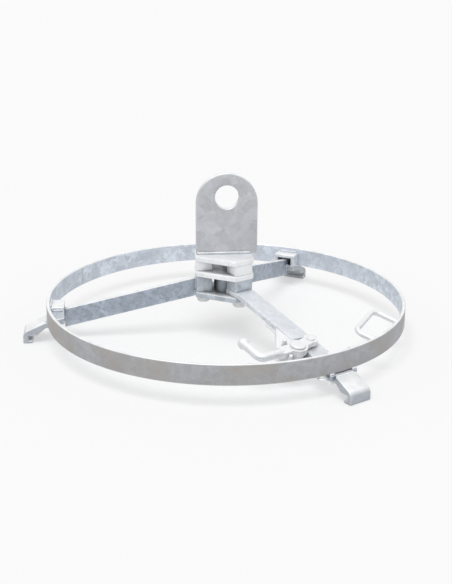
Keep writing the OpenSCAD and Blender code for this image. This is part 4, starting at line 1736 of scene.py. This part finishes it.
def guide_welds(size, pitch):
    """Seams of the hoop with the front arm's lugs and guide cheeks."""
    radius = 0.8 * size
    lug_side = CHEEK_HIGH.y - mm
    cheek_inner = lug_side - BRACKET_PLATE_T
    lug_r = HOOP_WELD_R - 2 * WELD_OFF
    lug_seam_top = LUG_TOP - 3 * mm
    foot_r = RING_R - 0.6 * mm
    made = []
    for side in (-1, 1):
        made += seams(level(FRONT), [
            upright(lug_r, side * lug_side, HOOP_WELD_LOW, lug_seam_top),
            across(foot_r, side * cheek_inner, side * lug_side, HOOP_FOOT_WELD_Z),
        ], radius, pitch)
    return made


def hoop_joint_welds(size, pitch):
    """Seams on both faces where the ends of the hoop's bar meet."""
    joint_place = math.radians(146)
    sunk = 1.6 * mm
    made = []
    for face_r in (RING_R - sunk, RING_INNER_R + sunk):
        path = upright(face_r, 0, RING_LOW.z + WELD_END, RING_HIGH.z - WELD_END)
        made += seams(level(joint_place), [path], size, pitch)
    return made


def grip_welds():
    """Round seams where the hand grip's legs meet the hoop."""
    sunk = 0.8 * mm
    path_r = 4.6 * mm
    radius = 1.8 * mm
    grip_matrix, leg = grip_place()
    made = []
    for side in (-GRIP_HALF_SPAN, GRIP_HALF_SPAN):
        foot = (
            grip_matrix @ Matrix.Translation((leg - sunk, side, 0))
            @ Matrix.Rotation(math.pi / 2, 4, "Y"))
        made.append(collar(foot, path_r, radius))
    return made


class BEAM_OT_welds(PieceOperator):
    """Weld seams of the eye plate, the hoop, the claws and the rods"""
    bl_idname = "beam.welds"
    bl_label = "Weld Seams"

    def make(self, sizes):
        size = sizes.weld_size
        pitch = sizes.weld_pitch
        made = eye_plate_welds(size, pitch)
        for angle in FIXED_ARMS.values():
            made += fixed_arm_welds(angle, size, pitch)
        made += guide_welds(size, pitch)
        made += hoop_joint_welds(size, pitch)
        made += grip_welds()
        hand_over(join(made), "weld_seams", "arm", body=home_body("ring"))

        claw_radius = 0.85 * size
        claw_half = 13.5 * mm
        claw_sunk = 1.4 * mm
        claw_path = across(slant(ARM_END_R), -claw_half, claw_half, -claw_sunk)
        claw_seam = seams(on_arm(FRONT), [claw_path], claw_radius, pitch)
        hand_over(join(claw_seam), "weld_seam_claw", "claw", body=home_body("claw_front"))

        rod_path_r = 5.6 * mm
        rod_seam_r = 1.7 * mm
        rod_foot = (
            AT_PIVOT
            @ Matrix.Translation(
                (0, LEVER_LOW.y - 2 * WELD_OFF, (LEVER_LOW.z + LEVER_HIGH.z) / 2))
            @ Matrix.Rotation(math.pi / 2, 4, "X"))
        lever_seam = collar(rod_foot, rod_path_r, rod_seam_r)
        hand_over(lever_seam, "weld_seam_lever", "lever", body=home_body("lever"))


class BEAM_OT_plain_parts(PieceOperator):
    """Finish for the parts that keep their own shape"""
    bl_idname = "beam.plain_parts"
    bl_label = "Plain Parts"

    def make(self, sizes):
        slots = {part["node"]: part["material_slot"] for part in frame["record"]["subparts"]}
        slots.update(hub_core="hub_core", pivot_bush="lever", peg_bush="lever")
        for node, obj in frame["nodes"].items():
            if obj.hide_render:
                continue
            obj.data.materials.clear()
            obj.data.materials.append(finish_for(slots[node]))


# Stage

class BEAM_OT_stage(bpy.types.Operator):
    """Pale floor, soft light and the camera"""
    bl_idname = "beam.stage"
    bl_label = "Stage"
    bl_options = {"REGISTER", "UNDO"}

    def execute(self, context):
        settings = context.scene.beam_stage
        self.add_floor(settings)
        self.add_light(context.scene, settings)
        self.add_camera(context.scene, settings)
        return {"FINISHED"}

    def add_floor(self, settings):
        pale = 0.97
        glow_share = 0.45
        clear_selection()
        bpy.ops.mesh.primitive_plane_add(
            size=settings.floor_size, location=(0, 0, CLAW_LOW.z))
        floor = bpy.context.object
        floor.name = "floor"
        material = bpy.data.materials.new("pale_floor")
        material.use_nodes = True
        nodes = material.node_tree.nodes
        links = material.node_tree.links
        surface = nodes["Principled BSDF"]
        surface.inputs["Base Color"].default_value = (pale, pale, pale, 1)
        surface.inputs["Roughness"].default_value = 0.9
        surface.inputs["Specular IOR Level"].default_value = 0.1
        glow = nodes.new("ShaderNodeEmission")
        mix = nodes.new("ShaderNodeMixShader")
        seen = seen_directly(nodes, links)
        links.new(math_node(nodes, links, "MULTIPLY", seen, glow_share), mix.inputs[0])
        links.new(surface.outputs[0], mix.inputs[1])
        links.new(glow.outputs[0], mix.inputs[2])
        links.new(mix.outputs[0], nodes["Material Output"].inputs["Surface"])
        floor.data.materials.append(material)

    def add_light(self, scene, settings):
        softness = math.radians(35)
        tilt_forward = math.radians(22)
        tilt_side = math.radians(-10)
        lamp = bpy.data.lights.new("overhead_lamp", "SUN")
        lamp.energy = settings.sun_strength
        lamp.angle = softness
        sun = bpy.data.objects.new("overhead_lamp", lamp)
        sun.rotation_euler = (tilt_forward, tilt_side, 0)
        scene.collection.objects.link(sun)
        world = bpy.data.worlds.new("pale_room")
        scene.world = world
        world.use_nodes = True
        nodes = world.node_tree.nodes
        links = world.node_tree.links
        room = nodes["Background"]
        room.inputs["Color"].default_value = (1, 1, 1, 1)
        room.inputs["Strength"].default_value = settings.room_strength
        white = nodes.new("ShaderNodeBackground")
        white.inputs["Color"].default_value = (1, 1, 1, 1)
        white.inputs["Strength"].default_value = settings.backdrop
        mix = nodes.new("ShaderNodeMixShader")
        links.new(seen_directly(nodes, links), mix.inputs[0])
        links.new(room.outputs[0], mix.inputs[1])
        links.new(white.outputs[0], mix.inputs[2])
        links.new(mix.outputs[0], nodes["World Output"].inputs["Surface"])

    def add_camera(self, scene, settings):
        data = bpy.data.cameras.new("camera")
        data.sensor_width = 36.0
        data.lens = settings.lens
        data.clip_start = 0.01
        camera = bpy.data.objects.new("camera", data)
        place_now = Vector(settings.camera_place)
        look = Vector(settings.camera_aim) - place_now
        turn = look.to_track_quat("-Z", "Y").to_matrix().to_4x4()
        roll = Matrix.Rotation(settings.camera_roll, 4, "Z")
        camera.matrix_world = Matrix.Translation(place_now) @ turn @ roll
        scene.collection.objects.link(camera)
        scene.camera = camera
        scene.view_settings.view_transform = "Standard"


def seen_directly(nodes, links):
    """1 for rays that come from the camera, a reflection or a clear material."""
    path = nodes.new("ShaderNodeLightPath").outputs
    first = math_node(nodes, links, "MAXIMUM", path["Is Camera Ray"], path["Is Glossy Ray"])
    return math_node(nodes, links, "MAXIMUM", first, path["Is Transmission Ray"])


# Sidebar and registration

PIECES = (
    BEAM_OT_eye_plate,
    BEAM_OT_hub_plates,
    BEAM_OT_hub_blocks,
    BEAM_OT_fixed_arms,
    BEAM_OT_front_arm,
    BEAM_OT_claws,
    BEAM_OT_hoop,
    BEAM_OT_brackets,
    BEAM_OT_hand_grip,
    BEAM_OT_guide,
    BEAM_OT_slide_bar,
    BEAM_OT_lever,
    BEAM_OT_hub_fasteners,
    BEAM_OT_guide_fasteners,
    BEAM_OT_pivot_fasteners,
    BEAM_OT_tether_eye,
    BEAM_OT_welds,
    BEAM_OT_plain_parts,
)


class BEAM_PT_sidebar(bpy.types.Panel):
    """Lists the beam's pieces and settings"""
    bl_idname = "BEAM_PT_sidebar"
    bl_label = "Drum Lifting Beam"
    bl_space_type = "VIEW_3D"
    bl_region_type = "UI"
    bl_category = "Lifting Beam"

    def draw(self, context):
        column = self.layout.column()
        for piece in (*PIECES, BEAM_OT_stage):
            column.operator(piece.bl_idname)
        for group in (
            context.scene.beam_sizes, context.scene.beam_colours, context.scene.beam_stage
        ):
            for name in group.bl_rna.properties.keys():
                if name not in ("rna_type", "name"):
                    column.prop(group, name)


CLASSES = (BeamSizes, BeamColours, StageSettings, *PIECES, BEAM_OT_stage, BEAM_PT_sidebar)


def register():
    for cls in CLASSES:
        bpy.utils.register_class(cls)
    bpy.types.Scene.beam_sizes = PointerProperty(type=BeamSizes)
    bpy.types.Scene.beam_colours = PointerProperty(type=BeamColours)
    bpy.types.Scene.beam_stage = PointerProperty(type=StageSettings)


def unregister():
    del bpy.types.Scene.beam_stage
    del bpy.types.Scene.beam_colours
    del bpy.types.Scene.beam_sizes
    for cls in reversed(CLASSES):
        bpy.utils.unregister_class(cls)


def run(operator_class):
    """Calls an operator by its name."""
    module, name = operator_class.bl_idname.split(".")
    getattr(getattr(bpy.ops, module), name)()


def main():
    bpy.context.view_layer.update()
    register()
    run(BEAM_OT_stage)
    for piece in PIECES:
        run(piece)
    clear_selection()


if __name__ == "__main__":
    main()
